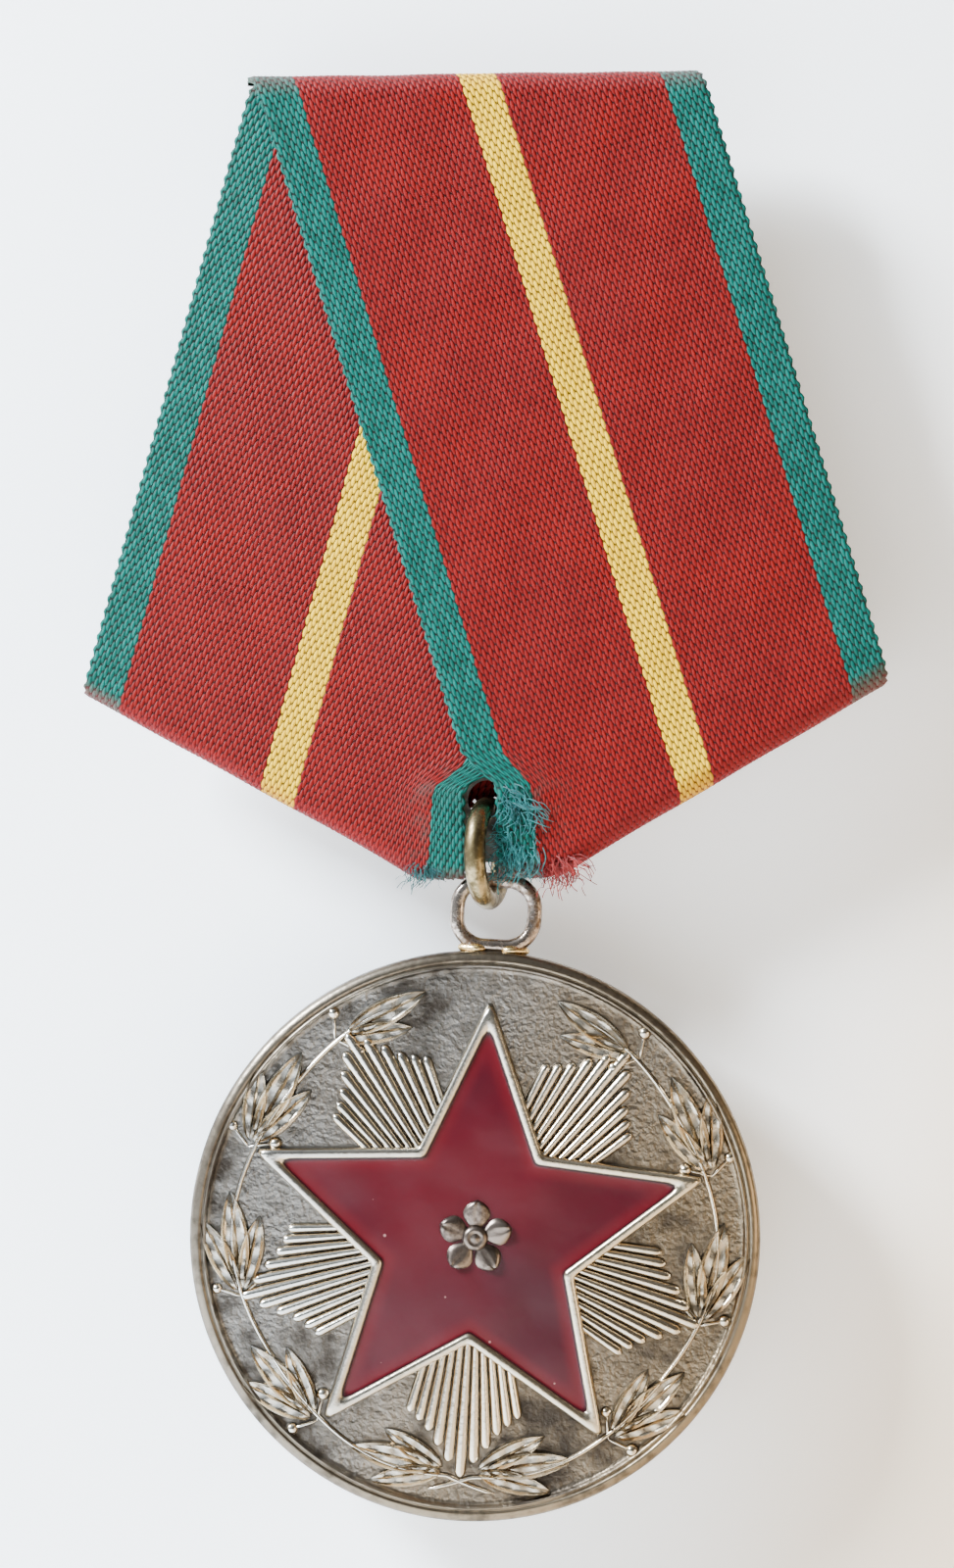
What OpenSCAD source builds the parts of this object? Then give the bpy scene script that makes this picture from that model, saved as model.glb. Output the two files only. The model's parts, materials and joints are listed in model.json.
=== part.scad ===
// Service medal: a round struck medal hung by a jump ring from a pentagonal ribbon mount with a brooch pin.
// X runs across the medal, Z up, and the front faces -Y. The origin is the middle of the brooch needle.

/* [Ribbon mount] */
// Width across the top of the mount
mount_top_w = 24.9; // [22:0.1:28]
// Width across the two lower corners
mount_wide_w = 45.2; // [40:0.1:50]
// Height from the blunt tip up to the top edge
mount_h = 45.4; // [42:0.1:50]
// Width of the blunt tip
mount_tip_w = 7.2; // [6.8:0.1:8.5]
// Width of the ribbon as woven
ribbon_w = 24; // [20:0.1:26]
// Thickness of one layer of ribbon
ribbon_t = 0.45; // [0.3:0.05:0.6]
// Height above the needle of the seam between the ribbon's ends, on the back
seam_z = 3.4; // [3:0.1:5]
// Thickness of the stamped back plate
plate_t = 0.8; // [0.6:0.1:1.2]
// Distance that the plate stays inside the ribbon's outline
plate_inset = 1.6; // [1.5:0.1:2.2]

/* [Jump ring] */
// Wire diameter of the ring
ring_wire_d = 1.2; // [1:0.05:1.3]
// Outer diameter of the ring
ring_outer_d = 6.4; // [6.2:0.1:7]
// Turn of the ring away from square to the mount, in degrees
ring_yaw = 17; // [0:1:18]
// Diameter of the hole in the plate that the ring passes through
ring_hole_d = 2.2; // [2:0.1:2.4]
// Gap between the ring and the edge that it hangs on
ring_gap = 0.1; // [0.08:0.01:0.15]

/* [Medal] */
// Diameter of the medal
medal_d = 32; // [28:0.5:36]
// Thickness of the struck blank behind the front field
blank_t = 1.5; // [1.2:0.1:1.8]
// Width of the raised rim
rim_w = 0.8; // [0.6:0.1:1.2]
// Height of the rim above the field, front and back
rim_h = 0.35; // [0.2:0.05:0.5]
// Radius to the points of the star
star_r = 13.4; // [11:0.1:13.6]
// Radius to the inner corners of the star
star_inner_r = 5.95; // [5:0.05:6.5]
// Width of the metal wall around the enamel
star_wall = 0.55; // [0.4:0.05:0.8]
// Height of the star's wall above the field
star_h = 0.65; // [0.4:0.05:0.9]
// Depth of the enamel below the top of its wall
enamel_sink = 0.1; // [0.05:0.05:0.2]
// Clockwise rest turn of the medal on its ring, in degrees
medal_rest_turn = 4.5; // [0:0.5:8]

/* [Suspension lug] */
// Width of the lug's loop
lug_w = 5.15; // [4.9:0.05:5.6]
// Thickness of the lug's wire, seen from the front
lug_wire = 0.8; // [0.6:0.05:0.9]
// Height of the opening in the lug
lug_hole_h = 2.9; // [2.7:0.1:3.6]
// Depth of the lug from front to back
lug_depth = 0.8; // [0.6:0.05:0.85]
// Sideways offset of the lug's middle from the ring
lug_offset = 0.45; // [0:0.05:0.5]

/* [Brooch pin] */
// Diameter of the needle
needle_d = 0.9; // [0.7:0.05:1]
// Distance from the hinge to the needle's tip
needle_l = 26; // [22:0.5:28]
// Distance of the needle below the top of the mount
needle_drop = 9; // [8:0.5:11]
// Height of the needle's middle above the bracket strip
needle_stand = 1.9; // [1.8:0.05:2.4]
// Height of the bracket strip, measured along the mount
strip_h = 4.2; // [3.6:0.1:5]
// Thickness of the bracket strip
strip_t = 0.5; // [0.4:0.05:0.7]
// Diameter of the bracket rivets
rivet_d = 1.6; // [1.2:0.1:2]
// Diameter of the hinge pin
hinge_pin_d = 0.8; // [0.7:0.05:1]

/* [Hidden] */
$fn = 48;
slack = 0.05;
sink = 0.15;
big = 100;
layer_gap = 0.05;
ring_r = ring_wire_d / 2;
ring_mid_r = ring_outer_d / 2 - ring_r;
// Layers counted from the middle of the plate outwards, the same in front and behind
left_in = plate_t / 2 + layer_gap;
left_out = left_in + ribbon_t;
right_in = left_out + layer_gap;
right_out = right_in + ribbon_t;
strip_y = right_out + layer_gap;
// The needle's middle is the origin, so the plate stands in front of it
plate_y = -(strip_y + strip_t + needle_stand);
strip_back = plate_y + strip_y + strip_t;
top_z = needle_drop;
// The lower corners keep their place as a share of the mount's height
mount_side_h = mount_h * 0.7643;
corner_z = top_z - mount_side_h;
tip_z = top_z - mount_h;
// Slopes of the mount's sides from upright and of its lower edges from level
side_lean = atan2((mount_wide_w - mount_top_w) / 2, mount_side_h);
edge_slope = atan2(corner_z - tip_z, (mount_wide_w - mount_tip_w) / 2);
// The plate and the cloth stop above the tip's outline, where the lug's top needs room
plate_tip_z = tip_z + 1;
web_h = 2.4;
hole_low_z = plate_tip_z + web_h;
hole_z = hole_low_z + ring_hole_d / 2;
slot_w = ring_hole_d + 0.5;
notch_w = mount_tip_w + 0.2;
ring_top_z = hole_low_z + ring_gap + ring_r;
ring_z = ring_top_z - ring_mid_r;
pivot_z = ring_z - ring_mid_r;
// Heights on the lug and the medal, before their rest turn about the ring's lower wire
lug_hole_top = pivot_z + ring_r + ring_gap;
lug_hole_low = lug_hole_top - lug_hole_h;
lug_top = lug_hole_top + lug_wire;
lug_low = lug_hole_low - lug_wire;
lug_foot_w = 3.5;
lug_round = 1.95;
medal_r = medal_d / 2;
medal_z = lug_low + 0.1 - medal_r;
field_y = plate_y - blank_t / 2;
back_y = plate_y + blank_t / 2;
star_top_y = field_y - star_h;
star_points = 5;
ray_count = 11;
ray_w = 0.5;
ray_pitch = 0.66;
ray_h = 0.4;
ray_end_r = 13.5;
leaf_l = 3.4;
leaf_w = 1.25;
leaf_h = 0.4;
leaf_rows = 10;
wreath_r = 14.1;
hinge_x = -needle_l / 2;
catch_x = needle_l / 2 - 2.2;
rivet_x = needle_l / 2 - 5.4;
strip_x = hinge_x - 1.6;
strip_w = needle_l + 1.6;
ear_t = 0.6;
knuckle_r = 1.1;
thread_d = 0.35;

// Extrudes a front-view outline, drawn in X and Z, over a range of depths
module slab(near, far) {
    translate([0, far, 0]) rotate([90, 0, 0]) linear_extrude(far - near) children();
}

// A round bar that runs from front to back
module bar_y(x, z, r, near, far) {
    translate([x, far, z]) rotate([90, 0, 0]) cylinder(h = far - near, r = r);
}

// Turns the hanging medal about the ring's lower wire to where it rests
module as_hung() {
    translate([0, 0, pivot_z]) rotate([0, medal_rest_turn, 0]) translate([lug_offset, 0, -pivot_z])
        children();
}

// Half the mount's width at a height, for a margin inside its outline
function half_w(z, margin) = (z >= corner_z)
    ? mount_top_w / 2 + (top_z - z) * tan(side_lean) - margin / cos(side_lean)
    : mount_wide_w / 2 - (corner_z - z) / tan(edge_slope) - margin / sin(edge_slope);

// The lower edge's height at a distance from the middle, for a margin inside the outline
function edge_z(x, margin) =
    tip_z + (x - mount_tip_w / 2) * tan(edge_slope) + margin / cos(edge_slope);

// Where the side and the lower edge meet, each drawn in by its own margin
function corner_x(side_margin, edge_margin) =
    (mount_top_w / 2 - side_margin / cos(side_lean)
        + tan(side_lean) * (mount_h - edge_margin / cos(edge_slope) + mount_tip_w / 2 * tan(edge_slope)))
    / (1 + tan(side_lean) * tan(edge_slope));

module mount_outline(margin, low_z) {
    tw = half_w(top_z - margin, margin);
    cw = corner_x(margin, margin);
    bw = mount_tip_w / 2 + (low_z - tip_z - margin / cos(edge_slope)) / tan(edge_slope);
    polygon([[-tw, top_z - margin], [tw, top_z - margin], [cw, edge_z(cw, margin)],
        [max(bw, 1), max(low_z, edge_z(1, margin))], [-max(bw, 1), max(low_z, edge_z(1, margin))],
        [-cw, edge_z(cw, margin)]]);
}

// The front of the band that leans down to the right; its folds are on lines inside the outline
module band_outline(edge_in) {
    top = top_z - right_out;
    cw = corner_x(0, edge_in);
    bw = mount_tip_w / 2;
    inner_top = half_w(top, 0) - ribbon_w / cos(side_lean);
    inner_low = inner_top + (top - tip_z) * tan(side_lean);
    polygon([[inner_top, top], [half_w(top, 0), top], [cw, edge_z(cw, edge_in)],
        [bw, edge_z(bw, edge_in)], [bw, tip_z], [inner_low, tip_z]]);
}

// The same band behind the mount, running up and inwards from its lower edge
module tail_outline(edge_in) {
    bw = mount_tip_w / 2;
    cw = corner_x(0, edge_in) - 0.1;
    run = 60;
    // A flat fold mirrors the band's direction in the edge
    dx = run * cos(2 * edge_slope + 90 - side_lean);
    dz = run * sin(2 * edge_slope + 90 - side_lean);
    polygon([[bw, edge_z(bw, edge_in)], [cw, edge_z(cw, edge_in)],
        [cw + dx, edge_z(cw, edge_in) + dz], [bw + dx, edge_z(bw, edge_in) + dz]]);
}

// Half a tube round a straight fold, open towards -Z; its two edges run on a little into the flat cloth
module fold(length, r_in, r_out) {
    run_on = 0.05;
    rotate([0, 90, 0]) difference() {
        cylinder(h = length, r = r_out);
        translate([0, 0, -1]) cylinder(h = length + 2, r = r_in);
        translate([run_on, -big / 2, -1]) cube([big, big, length + 2]);
    }
}

// One length of ribbon: front band, both folds and both ends behind, leaning down to the right
module ribbon_band(y_in, y_out) {
    edge_in = y_out;
    cw = corner_x(0, edge_in) - 0.1;
    bw = notch_w / 2 + 0.02;
    top = top_z - right_out;
    top_in = half_w(top, 0) - ribbon_w / cos(side_lean);
    difference() {
        union() {
            slab(plate_y - y_out, plate_y - y_in) band_outline(edge_in);
            translate([bw, plate_y, edge_z(bw, edge_in)])
                rotate([0, -edge_slope, 0])
                    mirror([0, 0, 1]) fold((cw - bw) / cos(edge_slope), y_in, y_out);
            translate([top_in + 0.1, plate_y, top])
                fold(half_w(top, 0) - top_in - 0.2, y_in, y_out);
            intersection() {
                slab(plate_y + y_in, plate_y + y_out) tail_outline(edge_in);
                slab(plate_y, plate_y + 2 * y_out) mount_outline(edge_in, plate_tip_z);
                translate([-big / 2, -big, seam_z - 0.1 - big]) cube([big, 2 * big, big]);
            }
            slab(plate_y + y_in, plate_y + y_out)
                polygon([[top_in + 0.1, top], [half_w(top, 0) - 0.1, top],
                    [half_w(top, 0) - 0.1 - (top - seam_z - 0.1) * tan(side_lean), seam_z + 0.1],
                    [top_in + 0.1, seam_z + 0.1]]);
        }
        bar_y(0, hole_z, slot_w / 2, plate_y - 3, plate_y + 3);
        slab(plate_y - 3, plate_y + 3) translate([-slot_w / 2, tip_z - 1])
            square([slot_w, hole_z - tip_z + 1]);
        slab(plate_y - 3, plate_y + 3) translate([-notch_w / 2, tip_z - 1])
            square([notch_w, plate_tip_z - tip_z + 1]);
        for (side = [-1, 1]) bar_y(side * rivet_x, 0, rivet_d / 2 + slack, plate_y, plate_y + 4);
    }
}

module mount_plate() {
    color("silver") difference() {
        slab(plate_y - plate_t / 2, plate_y + plate_t / 2) mount_outline(plate_inset, plate_tip_z);
        bar_y(0, hole_z, ring_hole_d / 2, plate_y - 2, plate_y + 2);
        for (side = [-1, 1]) bar_y(side * rivet_x, 0, rivet_d / 2 + slack, plate_y - 2, plate_y + 2);
    }
}

module ribbon_left_band() {
    color("firebrick") mirror([1, 0, 0]) ribbon_band(left_in, left_out);
}

module ribbon_right_band() {
    color("brown") ribbon_band(right_in, right_out);
}

// Thread laid across the seam between the ribbon's ends
module ribbon_stitches() {
    stitch_count = 9;
    pitch = 2.3;
    color("indianred") for (i = [0 : stitch_count - 1])
        translate([(i - (stitch_count - 1) / 2) * pitch, plate_y + right_out + thread_d / 2 + 0.02, seam_z])
            rotate([0, 25, 0]) union() {
                translate([0, 0, -0.8]) cylinder(h = 1.6, r = thread_d / 2);
                for (end = [-0.8, 0.8]) translate([0, 0, end]) sphere(r = thread_d / 2);
            }
}

// The strip behind the mount with two ears for the hinge and a fork for the needle's tip
module pin_bracket() {
    y0 = plate_y + strip_y;
    color("darkgray") difference() {
        union() {
            slab(y0, y0 + strip_t) translate([strip_x, -strip_h / 2]) square([strip_w, strip_h]);
            for (side = [-1, 1]) translate([hinge_x, 0, side * (needle_d / 2 + 0.15 + ear_t / 2)]) union() {
                cylinder(h = ear_t, r = knuckle_r, center = true);
                translate([-knuckle_r, strip_back - 0.2, -ear_t / 2])
                    cube([2 * knuckle_r, 0.2 - strip_back, ear_t]);
            }
            for (side = [-1, 1])
                translate([catch_x, strip_back - 0.2, side * (needle_d / 2 + 0.2 + ear_t / 2) - ear_t / 2])
                    cube([1.8, 0.2 - strip_back + needle_d / 2 + 0.4, ear_t]);
        }
        translate([hinge_x, 0, -strip_h]) cylinder(h = 2 * strip_h, r = hinge_pin_d / 2 + 0.03);
        for (side = [-1, 1]) bar_y(side * rivet_x, 0, rivet_d / 2 + slack, y0 - 1, y0 + 2);
    }
}

module bracket_rivets() {
    head_r = rivet_d * 0.85;
    head_h = 0.35;
    front = plate_y - plate_t / 2;
    color("lightgray") for (side = [-1, 1]) union() {
        bar_y(side * rivet_x, 0, rivet_d / 2, front, strip_back + 0.1);
        bar_y(side * rivet_x, 0, head_r, strip_back + 0.01, strip_back + head_h);
    }
}

module hinge_pin() {
    pin_h = needle_d + 0.3 + 2 * ear_t + 0.5;
    color("gray") union() {
        translate([hinge_x, 0, 0]) cylinder(h = pin_h, r = hinge_pin_d / 2, center = true);
        for (end = [-1, 1])
            translate([hinge_x, 0, end * (pin_h / 2 - 0.1)])
                cylinder(h = 0.22, r = hinge_pin_d / 2 + 0.25, center = true);
    }
}

// A straight needle with a flat eye at the hinge and a ground point
module brooch_needle() {
    eye_r = hinge_pin_d / 2 + 0.45;
    eye_h = needle_d - 0.2;
    shank_l = 1.7;
    shank_w = needle_d + 0.1;
    point_l = 3;
    color("lightsteelblue") difference() {
        union() {
            translate([hinge_x, 0, 0]) cylinder(h = eye_h, r = eye_r, center = true);
            translate([hinge_x, -shank_w / 2, -eye_h / 2]) cube([shank_l, shank_w, eye_h]);
            translate([hinge_x + shank_l - 0.2, 0, 0]) rotate([0, 90, 0])
                cylinder(h = needle_l - shank_l + 0.2 - point_l, r = needle_d / 2);
            translate([hinge_x + needle_l - point_l, 0, 0]) rotate([0, 90, 0])
                cylinder(h = point_l, r1 = needle_d / 2, r2 = 0.08);
        }
        translate([hinge_x, 0, 0]) cylinder(h = 2 * needle_d, r = hinge_pin_d / 2 + 0.03, center = true);
    }
}

module jump_ring() {
    color("goldenrod") translate([0, plate_y, ring_z]) rotate([0, 0, -ring_yaw]) rotate([0, 90, 0])
        rotate_extrude($fn = 64) translate([ring_mid_r, 0]) circle(r = ring_r, $fn = 32);
}

function star_point(i, outer, inner) =
    let (r = (i % 2 == 0) ? outer : inner, a = 90 + i * 180 / star_points)
    [r * cos(a), r * sin(a)];

// A star whose sides are drawn in by a margin
module star(margin) {
    half = atan2(star_inner_r * sin(36), star_r - star_inner_r * cos(36));
    shrink = 1 - margin / (star_r * sin(half));
    polygon([for (i = [0 : 2 * star_points - 1]) star_point(i, star_r * shrink, star_inner_r * shrink)]);
}

// One bundle of rays between two arms, each ray a narrow tongue with a pointed end
module ray_bundle() {
    half = (ray_count - 1) / 2;
    polygon(concat(
        [[-half * ray_pitch - ray_w / 2, star_inner_r - 0.6]],
        [for (i = [-half : half]) each
            let (x = i * ray_pitch, end = ray_end_r - 0.42 * abs(i) * (1 + abs(i) / 9))
            [[x - ray_w / 2, end - 0.5], [x, end], [x + ray_w / 2, end - 0.5],
                [x + ray_w / 2 + 0.01, end - 1.2]]],
        [[half * ray_pitch + ray_w / 2, star_inner_r - 0.6]]));
}

module leaf() {
    polygon([for (i = [0 : 11]) let (a = i * 30)
        [leaf_w / 2 * sin(a) * (1 - 0.25 * cos(a)), leaf_l / 2 * (1 - cos(a))]]);
}

// One side of the wreath: pairs of leaves from the bottom up
module wreath_branch() {
    first = -82;
    step = 15.2;
    for (i = [0 : leaf_rows - 1]) {
        a = first + i * step;
        rotate(a) translate([wreath_r - 0.55, 0]) {
            rotate(-6) leaf();
            if (i < leaf_rows - 1) rotate(20) translate([-0.5, -0.3]) leaf();
        }
    }
}

// Draws a front-view shape on the medal, raised from one depth to another
module on_medal(near, far) {
    as_hung() slab(near, far) translate([0, medal_z]) children();
}

module medal_disc() {
    rim_y = field_y - rim_h;
    color("darkkhaki") union() {
        as_hung() translate([0, 0, medal_z]) rotate([90, 0, 0]) translate([0, 0, -back_y])
            difference() {
                cylinder(h = back_y - field_y, r = medal_r, $fn = 128);
                translate([0, 0, -1]) cylinder(h = 1 + rim_h, r = medal_r - rim_w, $fn = 128);
            }
        as_hung() translate([0, 0, medal_z]) rotate([90, 0, 0]) translate([0, 0, -field_y - sink])
            difference() {
                cylinder(h = rim_h + sink, r = medal_r, $fn = 128);
                translate([0, 0, -1]) cylinder(h = rim_h + 2, r = medal_r - rim_w, $fn = 128);
            }
        on_medal(star_top_y, field_y + sink) difference() {
            star(0);
            star(star_wall);
        }
        for (i = [0 : star_points - 1])
            on_medal(field_y - ray_h, field_y + sink) difference() {
                rotate(36 + i * 72) ray_bundle();
                star(star_wall / 2);
            }
        for (side = [0, 1])
            on_medal(field_y - leaf_h, field_y + sink) intersection() {
                mirror([side, 0]) wreath_branch();
                difference() {
                    circle(r = medal_r - rim_w - 0.1, $fn = 128);
                    star(star_wall / 2);
                }
            }
    }
}

module enamel_star() {
    color("darkred") on_medal(star_top_y + enamel_sink, field_y - 0.01) difference() {
        star(star_wall + 0.02);
        circle(r = 2.2);
    }
}

// A plain round boss with a five-petalled rosette standing in the middle of the enamel
module centre_device() {
    petal_r = 0.85;
    color("dimgray") union() {
        on_medal(star_top_y - 0.1, field_y - 0.01) circle(r = 2.15);
        for (i = [0 : star_points - 1])
            as_hung() translate([0, star_top_y - 0.1, medal_z])
                rotate([0, i * 72, 0]) translate([0, 0, 1.2]) sphere(r = petal_r * 0.6);
        as_hung() translate([0, star_top_y - 0.1, medal_z]) sphere(r = 0.6);
    }
}

// A loop of strip: rounded outside and inside, with a foot that meets the medal's edge
module suspension_lug() {
    module rounded(w, low, high, r) {
        mid = (low + high) / 2;
        union() {
            translate([-w / 2, low + r]) square([w, high - low - 2 * r]);
            translate([-w / 2 + r, low]) square([w - 2 * r, high - low]);
            for (x = [-w / 2 + r, w / 2 - r]) for (z = [low + r, high - r]) translate([x, z]) circle(r = r);
        }
    }
    color("gainsboro") as_hung() difference() {
        slab(plate_y - lug_depth / 2, plate_y + lug_depth / 2) difference() {
            rounded(lug_w, lug_low, lug_top, lug_round);
            rounded(lug_w - 2 * lug_wire, lug_hole_low, lug_hole_top, lug_round - lug_wire);
        }
        bar_y(0, medal_z, medal_r, plate_y - 2, plate_y + 2, $fn = 192);
    }
}

// The bead of solder that holds the lug on the medal's edge
module lug_solder() {
    bead_h = 0.7;
    bead_y = lug_depth / 2 + 0.3;
    color("palegoldenrod") as_hung() difference() {
        slab(plate_y - bead_y, plate_y + bead_y)
            polygon([[-lug_foot_w / 2, lug_low - 0.4], [lug_foot_w / 2, lug_low - 0.4],
                [lug_foot_w / 2 - 0.5, lug_low + bead_h - 0.15], [-lug_foot_w / 2 + 0.5, lug_low + bead_h - 0.15]]);
        bar_y(0, medal_z, medal_r, plate_y - 2, plate_y + 2, $fn = 192);
        slab(plate_y - lug_depth / 2 - 0.01, plate_y + lug_depth / 2 + 0.01)
            translate([-lug_w, lug_low - 1]) square([2 * lug_w, 4]);
    }
}

mount_plate();
ribbon_left_band();
ribbon_right_band();
ribbon_stitches();
pin_bracket();
bracket_rivets();
hinge_pin();
brooch_needle();
jump_ring();
medal_disc();
enamel_star();
centre_device();
suspension_lug();
lug_solder();
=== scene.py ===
"""Builds the looks of a service medal: a ribboned mount, a jump ring and a struck, enamelled disc.

All sizes in this file are in millimetres until a mesh is made, when MM turns them into metres.
The frame has X across the medal, Y away from its front, and Z up.
"""

import json
import logging
import math
from dataclasses import dataclass, field
from enum import Enum
from typing import Callable

import bpy
import numpy as np
from mathutils import Matrix, Vector

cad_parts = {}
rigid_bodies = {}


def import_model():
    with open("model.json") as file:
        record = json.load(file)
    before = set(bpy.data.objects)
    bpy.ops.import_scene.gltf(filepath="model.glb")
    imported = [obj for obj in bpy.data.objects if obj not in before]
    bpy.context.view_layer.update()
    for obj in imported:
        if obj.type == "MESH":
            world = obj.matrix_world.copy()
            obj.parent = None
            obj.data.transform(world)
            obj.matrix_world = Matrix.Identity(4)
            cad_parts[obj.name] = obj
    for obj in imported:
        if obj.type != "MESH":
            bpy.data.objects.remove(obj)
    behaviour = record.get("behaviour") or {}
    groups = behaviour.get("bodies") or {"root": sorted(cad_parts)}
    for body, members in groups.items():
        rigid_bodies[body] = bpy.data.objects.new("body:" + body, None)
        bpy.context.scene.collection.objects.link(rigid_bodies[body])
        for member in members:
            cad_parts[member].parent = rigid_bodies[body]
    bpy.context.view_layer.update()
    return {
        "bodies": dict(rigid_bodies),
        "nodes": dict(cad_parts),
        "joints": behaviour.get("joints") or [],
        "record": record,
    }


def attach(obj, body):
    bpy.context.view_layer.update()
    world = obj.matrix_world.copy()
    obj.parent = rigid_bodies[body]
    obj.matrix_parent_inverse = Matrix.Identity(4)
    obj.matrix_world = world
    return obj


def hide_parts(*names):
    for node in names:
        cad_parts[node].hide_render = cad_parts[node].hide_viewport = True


LOG = logging.getLogger("medal")
MM = 0.001
PLATE_Y = -3.85
FIELD_Y = -4.6
FIFTH = 2 * math.pi / 5
Colour = tuple[float, float, float]


class Body(str, Enum):
    """The rigid bodies that new pieces ride on."""

    MOUNT = "mount"
    RING = "ring"
    MEDAL = "medal"


class Side(float, Enum):
    """Which way a ribbon band leans down, as the sign of X."""

    LEFT = -1.0
    RIGHT = 1.0


def smoothstep(low: float, high: float, x: np.ndarray) -> np.ndarray:
    """Rises smoothly from 0 at low to 1 at high.

    Args:
        low: Where the rise starts.
        high: Where the rise ends.
        x: Values to map.

    Returns:
        The mapped values.
    """
    t = np.clip((x - low) / (high - low), 0.0, 1.0)
    return t * t * (3.0 - 2.0 * t)



@dataclass
class Shape:
    """A growing mesh: points in millimetres, faces, and named values on the points.

    Attributes:
        points: Arrays of points, one array for each added part.
        faces: Faces as tuples of point numbers.
        values: For each name, the arrays of values that match points.
        count: Number of points so far.
    """

    points: list[np.ndarray] = field(default_factory=list)
    faces: list[tuple[int, ...]] = field(default_factory=list)
    values: dict[str, list[np.ndarray]] = field(default_factory=dict)
    count: int = 0

    @classmethod
    def of(cls, points: np.ndarray, faces: list[tuple[int, ...]], **values: np.ndarray) -> "Shape":
        """Makes a shape of one part, given as for add."""
        shape = cls()
        shape.add(points, faces, **values)
        return shape

    def add(self, points: np.ndarray, faces: list[tuple[int, ...]], **values: np.ndarray) -> None:
        """Adds one part.

        Args:
            points: The part's points, one row each.
            faces: Its faces, numbered from its own first point.
            **values: Named values, one number for each point.
        """
        self.faces.extend(tuple(i + self.count for i in f) for f in faces)
        self.points.append(np.asarray(points, float))
        for name, v in values.items():
            self.values.setdefault(name, []).append(np.broadcast_to(v, len(points)).astype(float))
        self.count += len(points)

    def build(self, name: str, smooth_angle: float = 40.0) -> bpy.types.Object:
        """Makes a Blender object of everything that was added.

        Args:
            name: The object's name.
            smooth_angle: Edges sharper than this many degrees stay sharp.

        Returns:
            The new object, at the origin, with its values as point attributes.
        """
        mesh = bpy.data.meshes.new(name)
        mesh.from_pydata(np.vstack(self.points) * MM, [], self.faces)
        for key, parts in self.values.items():
            attribute = mesh.attributes.new(key, "FLOAT", "POINT")
            attribute.data.foreach_set("value", np.concatenate(parts).astype(np.float32))
        mesh.shade_smooth()
        mesh.set_sharp_from_angle(angle=math.radians(smooth_angle))
        mesh.update()
        obj = bpy.data.objects.new(name, mesh)
        bpy.context.scene.collection.objects.link(obj)
        return obj


def grid_faces(rows: int, columns: int, wrap: bool = False, flip: bool = False) -> list[tuple[int, ...]]:
    """Lists the quads of a grid whose points run along the columns first.

    Args:
        rows: Number of rows of points.
        columns: Number of points in a row.
        wrap: Whether the last column joins the first.
        flip: Whether to turn the faces over.

    Returns:
        The faces.
    """
    i, j = np.meshgrid(np.arange(rows - 1), np.arange(columns if wrap else columns - 1), indexing="ij")
    k = (j + 1) % columns
    quads = np.stack([i * columns + j, i * columns + k, (i + 1) * columns + k, (i + 1) * columns + j], -1)
    quads = quads.reshape(-1, 4)
    return [tuple(q) for q in (quads[:, ::-1] if flip else quads).tolist()]


def sweep(path: np.ndarray, section: np.ndarray, closed: bool, side: np.ndarray) -> tuple[np.ndarray, list]:
    """Carries a closed cross-section along a path.

    Args:
        path: Points of the path.
        section: Points of the cross-section as (sideways, outwards) pairs, one set for each path point
            or one for all.
        closed: Whether the path is a loop.
        side: The fixed direction that the section's first coordinate follows.

    Returns:
        The points and faces.
    """
    n = len(path)
    ahead = np.roll(path, -1, 0) - np.roll(path, 1, 0)
    if not closed:
        ahead[0], ahead[-1] = path[1] - path[0], path[-1] - path[-2]
    ahead /= np.linalg.norm(ahead, axis=1)[:, None]
    out = np.cross(ahead, side)
    out /= np.linalg.norm(out, axis=1)[:, None]
    shape = np.broadcast_to(section, (n, *section.shape[-2:]))
    points = path[:, None] + shape[..., :1] * side + shape[..., 1:] * out[:, None]
    m = shape.shape[1]
    faces = grid_faces(n + 1 if closed else n, m, wrap=True)
    if closed:
        faces = [tuple(i % (n * m) for i in f) for f in faces]
    else:
        faces += [tuple(range(m - 1, -1, -1)), tuple((n - 1) * m + i for i in range(m))]
    return points.reshape(-1, 3), faces


def angles(count: int) -> np.ndarray:
    """Gives evenly spaced angles round a full turn."""
    return np.arange(count) * 2 * math.pi / count


def heading(angle: float) -> np.ndarray:
    """Gives the direction at an angle from Z towards X."""
    return np.array([math.sin(angle), 0, math.cos(angle)])


def turned(profile: list[tuple[float, float]], sides: int) -> tuple[np.ndarray, list[tuple[int, ...]]]:
    """Turns a profile round the Y axis.

    Args:
        profile: Pairs of radius and Y. A radius of 0 at an end closes that end in a point.
        sides: Number of points round.

    Returns:
        The points and faces.
    """
    a = angles(sides)
    rings = [np.stack([r * np.sin(a), np.full(sides, y), r * np.cos(a)], 1) for r, y in profile if r > 0]
    points, last = np.vstack(rings), (len(rings) - 1) * sides
    faces = grid_faces(len(rings), sides, wrap=True)
    if profile[0][0] == 0:
        faces += [(len(points), i, (i + 1) % sides) for i in range(sides)]
        points = np.vstack([points, [[0, profile[0][1], 0]]])
    if profile[-1][0] == 0:
        faces += [(len(points), last + (i + 1) % sides, last + i) for i in range(sides)]
        points = np.vstack([points, [[0, profile[-1][1], 0]]])
    return points, faces


def circle_section(radius: float, sides: int, squareness: float = 1.0) -> np.ndarray:
    """Gives a round or rounded-square cross-section.

    Args:
        radius: Half the section's width.
        sides: Number of points.
        squareness: 1 for a circle, less for a squarer section.

    Returns:
        The section's points.
    """
    a = angles(sides)
    c, s = np.cos(a), np.sin(a)
    return radius * np.stack([np.sign(c) * abs(c) ** squareness, np.sign(s) * abs(s) ** squareness], 1)


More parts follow.
